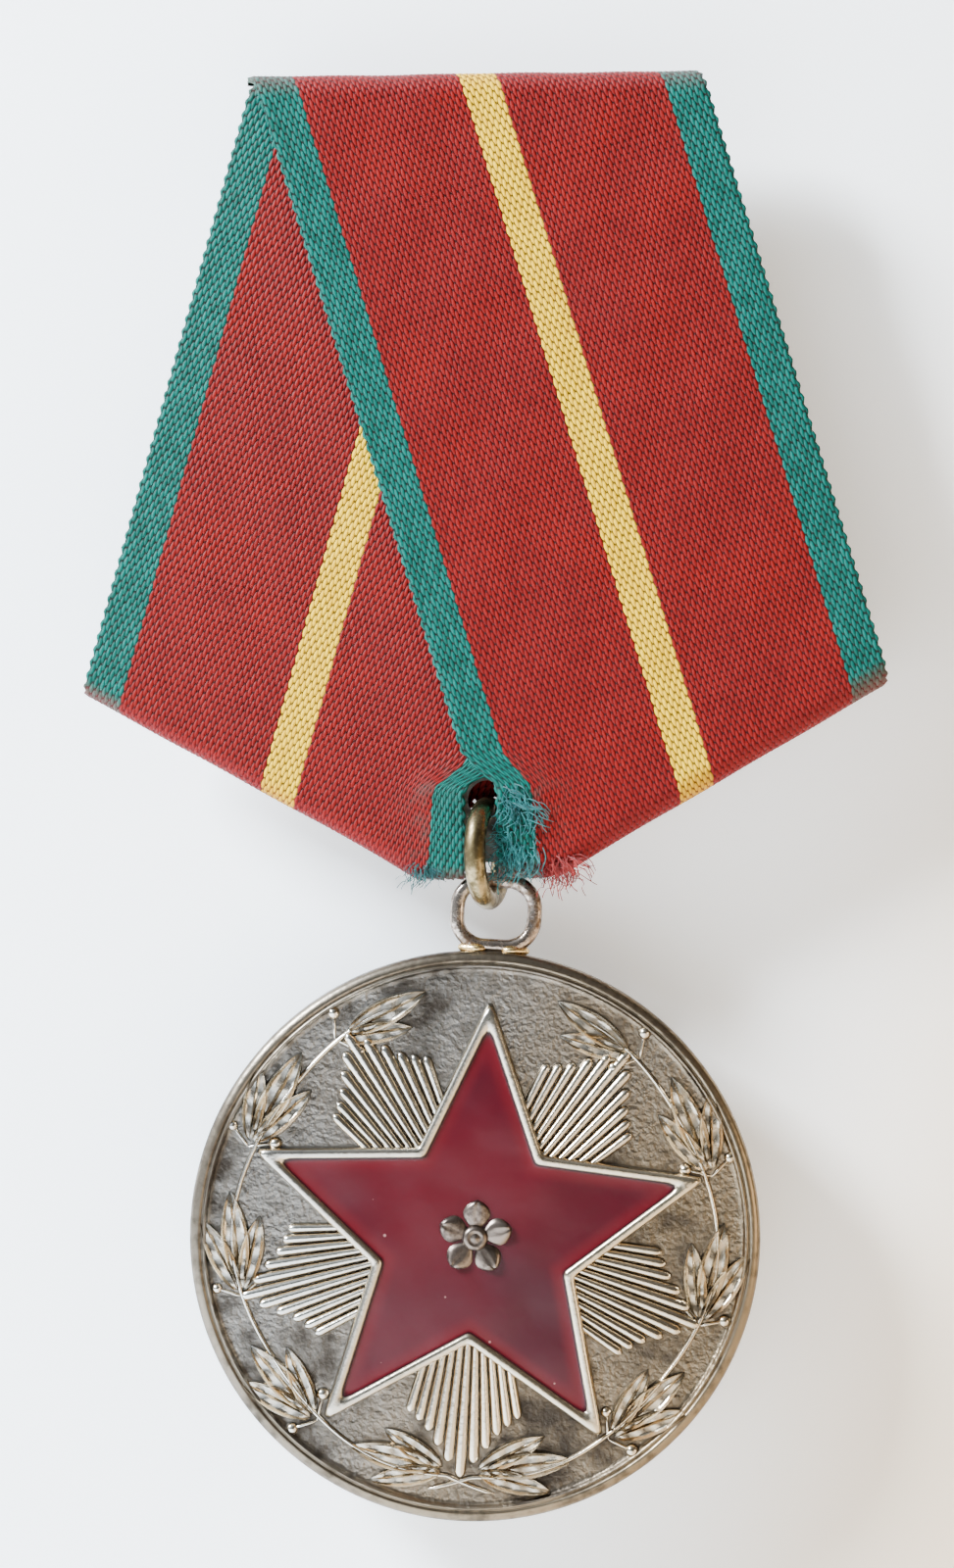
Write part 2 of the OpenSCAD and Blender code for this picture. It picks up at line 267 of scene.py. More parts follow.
@dataclass(frozen=True)
class Signal:
    """A node's number output, which ordinary arithmetic turns into Math nodes.

    Attributes:
        wires: The tree that it belongs to.
        socket: The output.
    """

    wires: "Wires"
    socket: bpy.types.NodeSocket

    def __add__(self, other: object) -> "Signal":
        """Adds."""
        return self.wires.math("ADD", self, other)

    def __sub__(self, other: object) -> "Signal":
        """Takes a number or signal away."""
        return self.wires.math("SUBTRACT", self, other)

    def __rsub__(self, other: object) -> "Signal":
        """Takes this away from a number."""
        return self.wires.math("SUBTRACT", other, self)

    def __mul__(self, other: object) -> "Signal":
        """Multiplies."""
        return self.wires.math("MULTIPLY", self, other)

    def __abs__(self) -> "Signal":
        """Drops the sign."""
        return self.wires.math("ABSOLUTE", self)


@dataclass(frozen=True)
class Wires:
    """A short way to add and join nodes in one tree.

    Attributes:
        tree: The node tree.
    """

    tree: bpy.types.NodeTree

    def join(self, value: object, socket: bpy.types.NodeSocket) -> None:
        """Links an output to a socket, or sets the socket to a constant."""
        if isinstance(value, Signal):
            value = value.socket
        if isinstance(value, bpy.types.NodeSocket):
            self.tree.links.new(value, socket)
        else:
            socket.default_value = (*value, 1.0) if socket.type == "RGBA" else value

    def add(self, kind: str, inputs: dict | None = None, **settings: object) -> bpy.types.Node:
        """Adds a node.

        Args:
            kind: The node's type name.
            inputs: Socket name or number to a value or to another node's output.
            **settings: Properties of the node itself.

        Returns:
            The node.
        """
        node = self.tree.nodes.new(kind)
        for key, value in settings.items():
            setattr(node, key, value)
        for key, value in (inputs or {}).items():
            self.join(value, node.inputs[key])
        return node

    def signal(self, kind: str, inputs: dict | None = None, output: int | str = 0,
               **settings: object) -> Signal:
        """Adds a node and gives one of its outputs."""
        return Signal(self, self.add(kind, inputs, **settings).outputs[output])

    def math(self, operation: str, *values: object) -> Signal:
        """Adds a Math node and gives its result."""
        return self.signal("ShaderNodeMath", dict(enumerate(values)), operation=operation)

    def mix(self, factor: object, a: object, b: object) -> Signal:
        """Mixes two colours and gives the result."""
        return self.signal("ShaderNodeMix", {0: factor, 6: a, 7: b}, 2, data_type="RGBA")

    def ramp(self, value: object, low: float, high: float) -> Signal:
        """Maps a range smoothly onto 0 to 1."""
        return self.signal("ShaderNodeMapRange", {"Value": value, "From Min": low, "From Max": high},
                           interpolation_type="SMOOTHSTEP")

    def noise(self, vector: object, scale: object, detail: float = 3.0) -> Signal:
        """Adds a Noise texture and gives its value."""
        return self.signal("ShaderNodeTexNoise", {"Vector": vector, "Scale": scale, "Detail": detail})

    def place(self, output: str = "Object") -> Signal:
        """Gives the texture coordinates."""
        return self.signal("ShaderNodeTexCoord", output=output)

    def axes(self, vector: object) -> list[Signal]:
        """Splits a vector into X, Y and Z."""
        return [Signal(self, part) for part in self.add("ShaderNodeSeparateXYZ", {0: vector}).outputs]

    def attribute(self, name: str) -> Signal:
        """Gives a value that is kept on the mesh's points."""
        return self.signal("ShaderNodeAttribute", output="Fac", attribute_name=name)

    def surface(self, shader: bpy.types.Node, colour: object, rough: object, height: object,
                distance: float, strength: float = 1.0) -> None:
        """Joins up a shader's colour, roughness and fine relief."""
        self.join(colour, shader.inputs["Base Color"])
        self.join(rough, shader.inputs["Roughness"])
        bump = self.signal("ShaderNodeBump", {"Height": height, "Distance": distance, "Strength": strength})
        self.join(bump, shader.inputs["Normal"])


class Finish:
    """Keeps the shader groups that materials share. Each group is built once."""

    def __init__(self) -> None:
        self.groups: dict[str, bpy.types.NodeTree] = {}

    def group(self, name: str, inputs: dict[str, float], outputs: tuple[str, ...],
              fill: Callable[..., tuple[Signal, ...]]) -> bpy.types.NodeTree:
        """Gives a shader node group, building it at the first call.

        Args:
            name: The group's name.
            inputs: Number inputs with their defaults. They follow a vector input.
            outputs: Names of the number outputs.
            fill: Adds the nodes. It gets the wires and the inputs, and gives the outputs in order.

        Returns:
            The node group.
        """
        if name in self.groups:
            return self.groups[name]
        tree = bpy.data.node_groups.new(name, "ShaderNodeTree")
        tree.interface.new_socket("Vector", in_out="INPUT", socket_type="NodeSocketVector")
        for key, default in inputs.items():
            socket = tree.interface.new_socket(key, in_out="INPUT", socket_type="NodeSocketFloat")
            socket.default_value = default
        for key in outputs:
            tree.interface.new_socket(key, in_out="OUTPUT", socket_type="NodeSocketFloat")
        w = Wires(tree)
        given, out = w.add("NodeGroupInput"), w.add("NodeGroupOutput")
        results = fill(w, *(Signal(w, given.outputs[key]) for key in ("Vector", *inputs)))
        for key, result in zip(outputs, results):
            w.join(result, out.inputs[key])
        self.groups[name] = tree
        return tree


def material(name: str, fill: Callable[[Wires, bpy.types.Node], None],
             **constants: object) -> bpy.types.Material:
    """Makes a material with one Principled shader.

    Args:
        name: The material's name.
        fill: Adds the nodes that change over the surface.
        **constants: Values for the shader's own sockets, with _ for a space.

    Returns:
        The material.
    """
    made = bpy.data.materials.new(name)
    made.use_nodes = True
    shader = made.node_tree.nodes["Principled BSDF"]
    for key, value in constants.items():
        shader.inputs[key.replace("_", " ")].default_value = value
    fill(Wires(made.node_tree), shader)
    return made


@dataclass(frozen=True)
class Weave:
    """The ribbon's rep weave: floats of warp thread in a brick pattern.

    Attributes:
        width: The ribbon's width.
        column: Distance between floats side by side in one row.
        row: Distance between rows.
        float_w: Width of one float.
        float_l: Length of one float.
        edge_stripe: Width of the green edges.
        centre_stripe: Width of the yellow stripe.
        relief: How far the floats stand up.
    """

    width: float = 24.0
    column: float = 0.375
    row: float = 0.37
    float_w: float = 0.235
    float_l: float = 0.66
    edge_stripe: float = 2.2
    centre_stripe: float = 2.05
    relief: float = 0.075

    def height(self, across: np.ndarray, along: np.ndarray) -> np.ndarray:
        """Gives how far the threads stand up, from 0 to 1.

        Args:
            across: Distance from the ribbon's middle.
            along: Distance along the ribbon.

        Returns:
            The height of the higher of the two sets of floats.
        """
        best = np.zeros_like(across)
        for shift in (0.0, 0.5):
            du = (across / self.column + shift + 0.5) % 1.0 - 0.5
            dv = (along / (2 * self.row) + shift + 0.5) % 1.0 - 0.5
            flat = (2 * du * self.column / self.float_w) ** 2 + (2 * dv * 2 * self.row / self.float_l) ** 2
            best = np.maximum(best, np.sqrt(np.clip(1 - 0.8 * flat, 0, 1)))
        return best


def weave_group(finish: Finish, weave: Weave) -> bpy.types.NodeTree:
    """Builds the shader group of the weave: which float a point is on, its height and its own tint."""
    def fill(w: Wires, place: Signal, across: Signal, along: Signal) -> tuple[Signal, ...]:
        wobble = (w.noise(place, 900.0, 1.0) - 0.5) * 0.10
        u, v = across + wobble, along + wobble * 1.2
        sets = []
        for shift in (0.0, 0.5):
            pu = w.math("DIVIDE", u, weave.column) + (shift + 0.5)
            pv = w.math("DIVIDE", v, 2 * weave.row) + (shift + 0.5)
            du, dv = w.math("FRACT", pu) - 0.5, w.math("FRACT", pv) - 0.5
            lean = du + dv * -0.12
            su = w.math("POWER", abs(lean * (2 * weave.column / weave.float_w)), 2.0)
            sv = w.math("POWER", abs(dv * (4 * weave.row / weave.float_l)), 2.0)
            column, row = w.math("FLOOR", pu), w.math("FLOOR", pv)
            # The usual sine hash gives each float its own tint
            key = column * 12.9898 + row * (78.233 + shift)
            tint = w.math("FRACT", w.math("SINE", key) * 43758.5)
            sets.append((su + sv, (column - shift) * weave.column, tint))
        first = w.math("LESS_THAN", sets[0][0], sets[1][0])
        second = 1.0 - first
        flat, home, tint = (a * first + b * second for a, b in zip(*sets))
        return w.math("SQRT", w.math("MAXIMUM", 1.0 - flat * 0.8, 0.0)), home, tint
    return finish.group("rep_weave", {"Across": 0.0, "Along": 0.0}, ("Height", "Home", "Tint"), fill)


def ribbon_material(finish: Finish, weave: Weave) -> bpy.types.Material:
    """Makes the ribbon's cloth: red with green edges and a yellow centre stripe, in a rep weave."""
    def fill(w: Wires, shader: bpy.types.Node) -> None:
        place = w.place()
        across, along, fray, weft = (w.attribute(name) for name in ("across", "along", "fray", "bend"))
        cells = w.add("ShaderNodeGroup", {"Vector": place, "Across": across, "Along": along},
                      node_tree=weave_group(finish, weave))
        height, home, tint = (Signal(w, cells.outputs[key]) for key in ("Height", "Home", "Tint"))
        edge = w.math("GREATER_THAN", abs(home), weave.width / 2 - weave.edge_stripe)
        centre = w.math("LESS_THAN", abs(home), weave.centre_stripe / 2)
        red = w.mix(tint * 0.55, (0.135, 0.0046, 0.0044), (0.078, 0.0022, 0.0024))
        patch = w.ramp(w.noise(place, 260.0, 4.0), 0.42, 0.75)
        red = w.mix(patch * 0.5, red, (0.16, 0.0034, 0.0026))
        green = w.mix(tint, (0.0002, 0.050, 0.038), (0.0004, 0.086, 0.069))
        yellow = w.mix(tint, (0.54, 0.31, 0.0001), (0.64, 0.39, 0.0001))
        colour = w.mix(edge, w.mix(centre, red, yellow), green)
        # Painted shade: the deep gaps between floats are darkened
        gap_shade = w.mix(0.86, colour, (0.010, 0.003, 0.003))
        colour = w.mix(w.ramp(height, 0.30, 0.80), gap_shade, colour)
        # Where the cloth is bent hard the pinkish weft shows between the warp threads
        colour = w.mix(weft * 0.45, colour, (0.20, 0.012, 0.015))
        # One soft stain lies in the upper part of the right band
        moved = w.signal("ShaderNodeMapping", {"Vector": place, "Location": (-0.0057, 0.0, 0.0035)})
        sized = w.signal("ShaderNodeVectorMath", {0: moved, 1: (330.0, 60.0, 200.0)}, operation="MULTIPLY")
        stain = w.signal("ShaderNodeTexGradient", {"Vector": sized}, "Fac", gradient_type="SPHERICAL")
        stain = stain * w.ramp(w.noise(place, 700.0, 3.0), 0.3, 0.7)
        colour = w.mix(stain * 0.35, colour, (0.10, 0.010, 0.010))
        dirt = fray * w.ramp(w.noise(place, 1500.0, 2.0), 0.35, 0.7)
        colour = w.mix(dirt * 0.55, colour, (0.010, 0.060, 0.050))
        rough = w.noise(place, 2500.0, 2.0) * 0.22 + 0.40 + fray * 0.2
        fibre_place = w.signal("ShaderNodeCombineXYZ", {"X": across * 26.0, "Y": along * 3.0, "Z": tint})
        lift = height + w.noise(fibre_place, 1.0, 2.0) * 0.16
        w.surface(shader, colour, rough, lift, 0.09 * MM, 0.9)
    return material("ribbon_cloth", fill, Specular_IOR_Level=0.09)


@dataclass(frozen=True)
class Outline:
    """The five-sided shape that the ribbon is folded round, given by the corners of its right half."""

    top: float = 9.0
    top_x: float = 12.45
    corner_x: float = 22.6
    corner_z: float = -25.7
    tip_x: float = 3.6
    tip_z: float = -36.4

    @property
    def lean(self) -> float:
        """The angle of the long sides from upright."""
        return math.atan2(self.corner_x - self.top_x, self.top - self.corner_z)

    @property
    def slope(self) -> float:
        """The angle of the lower sides from level."""
        return math.atan2(self.corner_z - self.tip_z, self.corner_x - self.tip_x)


@dataclass
class RibbonBand:
    """One band of ribbon, folded over the top of the plate and round one of its lower sides.

    Attributes:
        side: Which way the band leans.
        outline: The plate's outline.
        weave: The cloth.
        radius: Distance from the plate's middle to the cloth's outer face.
        slit: How far the band's inner edge is pushed aside at the hole for the ring.
        top_axis: Z of the axis of the top fold.
        hem_top: Z of the front stretch's cut end behind the plate.
        tail_top: Z of the tail's cut end behind the plate.
        hole_z: Where the push aside starts and where it is full, from the top down.
        scallop: How far the selvedge stands out between rows, and how wide a strip it moves.
    """

    side: Side
    outline: Outline
    weave: Weave
    radius: float
    slit: float
    top_axis: float = 7.6
    hem_top: float = 3.5
    tail_top: float = 3.3
    hole_z: tuple[float, float] = (-29.8, -31.6)
    scallop: tuple[float, float] = (0.14, 0.25)

    def flat(self, u: np.ndarray, v: np.ndarray) -> tuple[np.ndarray, np.ndarray, np.ndarray]:
        """Lays the band out flat in front of the plate, parted round the ring's hole.

        Args:
            u: Distance across from the band's middle.
            v: Distance along from the top.

        Returns:
            X and Z as for a band that leans right, and how hard the cloth is pushed aside.
        """
        o, lean = self.outline, self.outline.lean
        middle = o.top_x - self.weave.width / (2 * math.cos(lean))
        x = middle + u * math.cos(lean) + v * math.sin(lean)
        z = o.top + u * math.sin(lean) - v * math.cos(lean)
        edge = middle - self.weave.width / 2 / math.cos(lean) + (o.top - z) * math.tan(lean)
        want = self.slit * smoothstep(*self.hole_z, z)
        push = np.maximum(want - edge, 0) * smoothstep(-29.0, -31.2, z)
        near = 1 - smoothstep(0.0, 6.5, u + self.weave.width / 2)
        return x + push * near, z, np.clip(push / 2.0, 0, 1) * near

    def past_low(self, x: np.ndarray, z: np.ndarray, tip: bool) -> tuple[np.ndarray, ...]:
        """Gives how far points lie past the lower fold, and the fold's outward direction.

        Args:
            x: X of flat points.
            z: Z of flat points.
            tip: Whether the short level fold at the tip counts too.

        Returns:
            The distance and the two parts of the direction.
        """
        o, a = self.outline, self.outline.slope
        sloped = (x - o.tip_x) * math.sin(a) - (z - o.tip_z) * math.cos(a) + self.radius
        level = o.tip_z - z + self.radius
        w = 1 / (1 + np.exp(np.clip((level - sloped) / 0.35, -40, 40))) if tip else np.ones_like(x)
        nx, nz = w * math.sin(a), -w * math.cos(a) - (1 - w)
        length = np.hypot(nx, nz)
        return w * sloped + (1 - w) * level, nx / length, nz / length

    def fold(self, u: np.ndarray, v: np.ndarray, sink: np.ndarray, tip: bool) -> tuple[np.ndarray, ...]:
        """Wraps the flat band round the plate.

        Args:
            u: Distance across.
            v: Distance along.
            sink: How far each point lies below the cloth's face.
            tip: Whether the fold at the tip counts.

        Returns:
            X, Y, Z, how hard the cloth is bent, and how hard it is pushed aside.
        """
        out, strip = self.scallop
        wave = 0.5 + 0.5 * np.cos(math.pi * v / self.weave.row)
        edge = np.clip((abs(u) - self.weave.width / 2 + strip) / strip, 0, 1)
        x, z, push = self.flat(u + np.sign(u) * out * wave * edge, v)
        r = self.radius
        rise = self.weave.relief * self.weave.height(u, v) - sink + 0.30 * push
        rise = rise + 0.035 * np.sin(0.9 * v + 0.6 * u) * np.sin(0.45 * u - 0.25 * v)
        over = r + np.minimum(rise, 0.36) - self.weave.relief
        y = PLATE_Y - over
        # The lower fold
        s, nx, nz = self.past_low(x, z, tip)
        turn = np.clip(s / r, 0, math.pi)
        low = s > 0
        x0, z0 = x - nx * np.maximum(s, 0), z - nz * np.maximum(s, 0)
        away = over * np.sin(turn) - np.maximum(s - math.pi * r, 0)
        px, pz = x0 + nx * away, z0 + nz * away
        py = PLATE_Y - over * np.cos(turn)
        # The top fold
        t = z - self.top_axis
        turn_top = np.clip(t / r, 0, math.pi)
        high = t > 0
        qz = self.top_axis + over * np.sin(turn_top) - np.maximum(t - math.pi * r, 0)
        qy = PLATE_Y - over * np.cos(turn_top)
        out_x = np.where(low, px, x)
        # Behind the plate the hem stays inside the long side
        hem_edge = 0.35 - self.outline.top_x - (self.outline.top - qz) * math.tan(self.outline.lean)
        out_x = np.where(t > 2.0 * r, np.maximum(out_x, hem_edge), out_x)
        out_y = np.where(low, py, np.where(high, qy, y))
        out_z = np.where(low, pz, np.where(high, qz, z))
        bend = np.maximum(np.sin(turn) * low, 0.5 * np.sin(turn_top) * high)
        return out_x * self.side.value, out_y, out_z, bend, push

    def columns(self, step: float) -> tuple[np.ndarray, np.ndarray]:
        """Gives the positions across, with each selvedge curled in by two more columns."""
        half = self.weave.width / 2
        u = np.linspace(-half, half, round(self.weave.width / step) + 1)
        sink = np.zeros_like(u)
        sink[0] = sink[-1] = 0.07
        return (np.concatenate([[-half + 0.02] * 2, u, [half - 0.02] * 2]),
                np.concatenate([[0.36, 0.18], sink, [0.18, 0.36]]))

    def cloth(self, name: str, start: np.ndarray, end: np.ndarray, step_u: float, step_v: float,
              tip: bool) -> bpy.types.Object:
        """Makes one stretch of the band.

        Args:
            name: The piece's name.
            start: Where the stretch starts along the band, for each column.
            end: Where it ends.
            step_u: Grid spacing across.
            step_v: Grid spacing along.
            tip: Whether the fold at the tip counts.

        Returns:
            The piece.
        """
        u, sink = self.columns(step_u)
        first, last = math.floor(start.min() / step_v), math.ceil(end.max() / step_v)
        v = np.arange(first, last + 1)[:, None] * step_v
        v = np.clip(v, start[None, :], end[None, :])
        uu, ss = np.broadcast_to(u, v.shape), np.broadcast_to(sink, v.shape)
        x, y, z, bend, push = self.fold(uu, v, ss, tip)
        rows, cols = v.shape
        faces = np.array(grid_faces(rows, cols, flip=self.side is Side.RIGHT))
        flat_v = v.reshape(-1)
        span = flat_v[faces].max(1) - flat_v[faces].min(1)
        keep = span > step_v * 0.02
        # Cut away the cloth behind the ring's hole and behind the tip, where the lug passes
        cx, cy, cz = (c.reshape(-1)[faces].mean(1) for c in (x, y, z))
        if tip:
            keep &= ~((abs(cx) < 3.75) & (cz < -35.4) & (cy > PLATE_Y - 0.6))
        else:
            keep &= ~(((cx > -0.8) & (cx < 1.45) & (cz < -31.85)) | ((abs(cx) < 3.8) & (cz < -35.3)))
        faces = faces[keep]
        points = np.stack([x, y, z], -1).reshape(-1, 3)
        used, index = np.unique(faces, return_inverse=True)
        shape = Shape.of(points[used], [tuple(f) for f in index.reshape(faces.shape).tolist()],
                         across=uu.reshape(-1)[used], along=flat_v[used], bend=bend.reshape(-1)[used],
                         fray=push.reshape(-1)[used])
        return shape.build(name, 180.0)

    def where(self, u: np.ndarray, test: Callable[[np.ndarray, np.ndarray], np.ndarray]) -> np.ndarray:
        """Finds, for each column, the first distance along at which a test value rises above zero."""
        v = np.linspace(-15, 110, 2501)
        uu, vv = np.meshgrid(u, v)
        value = test(uu, vv) > 0
        return v[np.argmax(value, axis=0)]

    def build(self, name: str) -> tuple[bpy.types.Object, bpy.types.Object, float, float]:
        """Makes the band as a front with its folds, and the tail behind it.

        Returns:
            The two pieces and their lengths in millimetres.
        """
        o, r = self.outline, self.radius
        u, _ = self.columns(self.weave.column / 4)
        rise = self.top_axis + math.pi * r + (self.top_axis - self.hem_top)
        start = (o.top + u * math.sin(o.lean) - rise) / math.cos(o.lean)

        def turned(tip: bool) -> Callable[[np.ndarray, np.ndarray], np.ndarray]:
            def test(uu: np.ndarray, vv: np.ndarray) -> np.ndarray:
                x, z, _ = self.flat(uu, vv)
                return self.past_low(x, z, tip)[0] - math.pi * r * (0.96 if tip else 0.9)
            return test

        end = self.where(u, turned(True))
        front = self.cloth(f"{name}_front", start, end, self.weave.column / 4, 0.17, True)
        w, _ = self.columns(self.weave.column / 2)
        begin = self.where(w, turned(False))

        def past_end(uu: np.ndarray, vv: np.ndarray) -> np.ndarray:
            x, z, _ = self.flat(uu, vv)
            s, nx, nz = self.past_low(x, z, False)
            bx, bz = x - nx * (2 * s - math.pi * r), z - nz * (2 * s - math.pi * r)
            side = o.top_x + (o.top - bz) * math.tan(o.lean) - 1.0
            past = np.maximum(bz - self.tail_top, np.abs(bx) - side - 100 * (bx > 0))
            return np.where(s > math.pi * r, past, -1)

        finish = self.where(w, past_end)
        tail = self.cloth(f"{name}_tail", begin, finish, self.weave.column / 2, self.weave.row, False)
        return front, tail, float((end - start).mean()), float((finish - begin).mean())


def tarnish_group(finish: Finish) -> bpy.types.NodeTree:
    """Builds the shader group for old metal: a stain mask, dark spots and a fine sand grain."""
    def fill(w: Wires, place: Signal, scale: Signal, cover: Signal) -> tuple[Signal, ...]:
        broad = w.noise(place, scale, 5.0)
        fine = w.noise(place, scale * 9.0, 3.0)
        stain = w.ramp(broad * 0.6 + fine * 0.4, 0.44, 0.62)
        spots = w.ramp(w.noise(place, scale * 2.2, 2.0), 0.60, 0.72)
        grain = w.noise(place, 4200.0, 2.0) + w.noise(place, 1900.0, 1.0) * 0.8
        return stain * cover, spots, grain
    return finish.group("old_metal", {"Scale": 150.0, "Cover": 1.0}, ("Stain", "Spots", "Grain"), fill)


@dataclass(frozen=True)
class MetalFinish:
    """An old metal's colours and surface.

    Attributes:
        name: The material's name.
        bright: Colour where it is worn bright.
        dull: Colour of the tarnish.
        warm: Colour of the painted warm reflection towards the lower right and of the painted highlight on
            relief slopes.
        rough: Roughness where bright and where dull.
        grain: Height of the fine grain in millimetres.
        cover: How much tarnish there is.
        warmth: How much of the painted warm light there is.
        scale: Size of the stains, as noise scale.
        relief: Whether the mesh has the "rise" value, which is 1 on worn tops and 0 in recesses.
    """

    name: str
    bright: Colour
    dull: Colour
    warm: Colour
    rough: tuple[float, float]
    grain: float
    cover: float
    warmth: float
    scale: float = 150.0
    relief: bool = False

    def build(self, finish: Finish) -> bpy.types.Material:
        """Makes the material."""
        def fill(w: Wires, shader: bpy.types.Node) -> None:
            place = w.place()
            old = w.add("ShaderNodeGroup", {"Vector": place, "Scale": self.scale, "Cover": self.cover},
                        node_tree=tarnish_group(finish))
            stain, spots, grain = (Signal(w, old.outputs[key]) for key in ("Stain", "Spots", "Grain"))
            x, _, z = w.axes(place)
            # Painted warm reflection: the warm colour grows towards the lower right
            painted_warm_light = w.ramp(x * 30.0 - z * 9.0 + w.noise(place, 110.0, 4.0), 0.55, 1.45) * self.warmth
            if self.relief:
                rise = w.attribute("rise")
                stain = w.math("MAXIMUM", stain * (1.1 - rise), w.ramp(rise, 0.55, 0.05) * 0.75)
                # Painted highlight: the relief's slopes, between worn top and patinated recess, take the warm
                # colour
                edge = w.ramp(rise, 0.25, 0.6) * w.ramp(rise, 1.0, 0.6)
                painted_warm_light = w.math("MAXIMUM", painted_warm_light, edge * (self.warmth * 1.3))
            colour = w.mix(stain, w.mix(painted_warm_light, self.bright, self.warm), self.dull)
            colour = w.mix(spots * (0.35 * self.cover), colour, tuple(c * 0.25 for c in self.dull))
            rough = stain * (self.rough[1] - self.rough[0]) + self.rough[0]
            w.surface(shader, colour, rough, grain, self.grain * MM)
        return material(self.name, fill, Metallic=1.0)


SILVER = MetalFinish("struck_silver", (0.60, 0.585, 0.54), (0.030, 0.023, 0.016), (0.42, 0.285, 0.12),
                     rough=(0.20, 0.48), grain=0.012, cover=0.75, warmth=0.55, relief=True)
FIELD = MetalFinish("sand_field", (0.19, 0.178, 0.162), (0.032, 0.026, 0.021), (0.17, 0.112, 0.05),
                    rough=(0.33, 0.5), grain=0.05, cover=0.95, warmth=0.7, scale=80.0)
RIM = MetalFinish("rim_metal", (0.15, 0.125, 0.095), (0.04, 0.031, 0.022), (0.24, 0.165, 0.08),
                  rough=(0.30, 0.5), grain=0.012, cover=0.8, warmth=0.3, scale=190.0)
WALL = MetalFinish("star_wall", (0.46, 0.43, 0.38), (0.05, 0.037, 0.027), (0.62, 0.48, 0.27),
                   rough=(0.22, 0.45), grain=0.010, cover=0.7, warmth=0.5, scale=260.0, relief=True)
DEVICE = MetalFinish("device_metal", (0.14, 0.115, 0.098), (0.03, 0.021, 0.018), (0.36, 0.25, 0.17),
                     rough=(0.28, 0.5), grain=0.010, cover=0.8, warmth=0.2, scale=500.0)
BRASS = MetalFinish("ring_wire", (0.27, 0.215, 0.115), (0.055, 0.040, 0.018), (0.30, 0.185, 0.06),
                    rough=(0.24, 0.45), grain=0.012, cover=0.95, warmth=0.35, scale=330.0)
LUG = MetalFinish("lug_wire", (0.42, 0.375, 0.33), (0.09, 0.055, 0.033), (0.30, 0.15, 0.065),
                  rough=(0.2, 0.45), grain=0.014, cover=1.0, warmth=0.8, scale=420.0)
BRAZE = MetalFinish("gold_braze", (0.80, 0.60, 0.30), (0.45, 0.31, 0.13), (0.75, 0.50, 0.2),
                    rough=(0.22, 0.42), grain=0.03, cover=0.6, warmth=0.6, scale=600.0)
# Painted shade: the plate gets a near-black finish so that the ring's hole looks shaded
SHADED_PLATE = MetalFinish("plate_painted_shade", (0.10, 0.092, 0.082), (0.03, 0.027, 0.024), (0.08, 0.06, 0.04),
                    rough=(0.35, 0.55), grain=0.012, cover=0.9, warmth=0.2, scale=170.0)
STEEL = MetalFinish("pin_steel_wire", (0.62, 0.61, 0.60), (0.24, 0.21, 0.18), (0.40, 0.30, 0.20),
                    rough=(0.22, 0.45), grain=0.008, cover=0.65, warmth=0.25, scale=210.0)


def enamel_material() -> bpy.types.Material:
    """Makes the glassy maroon enamel, clouded by depth and pitted in a few places."""
    def fill(w: Wires, shader: bpy.types.Node) -> None:
        place, edge = w.place(), w.attribute("edge")
        cloud = w.ramp(w.noise(place, 90.0, 2.0), 0.30, 0.70)
        colour = w.mix(cloud, (0.050, 0.0030, 0.0062), (0.026, 0.0018, 0.0050))
        colour = w.mix(w.ramp(edge, 0.35, 0.9) * 0.55, colour, (0.074, 0.0044, 0.0070))
        colour = w.mix(w.ramp(edge, 0.93, 1.0), colour, (0.010, 0.002, 0.003))
        speck = w.signal("ShaderNodeTexVoronoi", {"Vector": place, "Scale": 520.0}, "Distance")
        colour = w.mix(w.math("LESS_THAN", speck, 0.045) * 0.45, colour, (0.40, 0.22, 0.20))
        haze = w.noise(place, 420.0, 4.0) * 0.14 + 0.12
        swell = w.noise(place, 210.0, 1.0) + w.noise(place, 1400.0, 2.0) * 0.05
        w.surface(shader, colour, haze, swell, 0.22 * MM, 0.6)
    return material("maroon_enamel", fill, Coat_Weight=0.05, Coat_Roughness=0.08, IOR=1.45,
                    Specular_IOR_Level=0.24)


def thread_material(name: str, first: Colour, second: Colour, scale: float = 900.0) -> bpy.types.Material:
    """Makes twisted sewing thread or loose fibre from two colours."""
    def fill(w: Wires, shader: bpy.types.Node) -> None:
        place = w.place()
        colour = w.mix(w.ramp(w.noise(place, scale, 2.0), 0.35, 0.65), first, second)
        ply = w.signal("ShaderNodeTexWave", {"Vector": place, "Scale": 1500.0, "Distortion": 1.5}, "Fac",
                       bands_direction="DIAGONAL")
        w.surface(shader, colour, ply * 0.2 + 0.55, ply, 0.06 * MM)
    return material(name, fill, Sheen_Weight=0.08, Specular_IOR_Level=0.3)


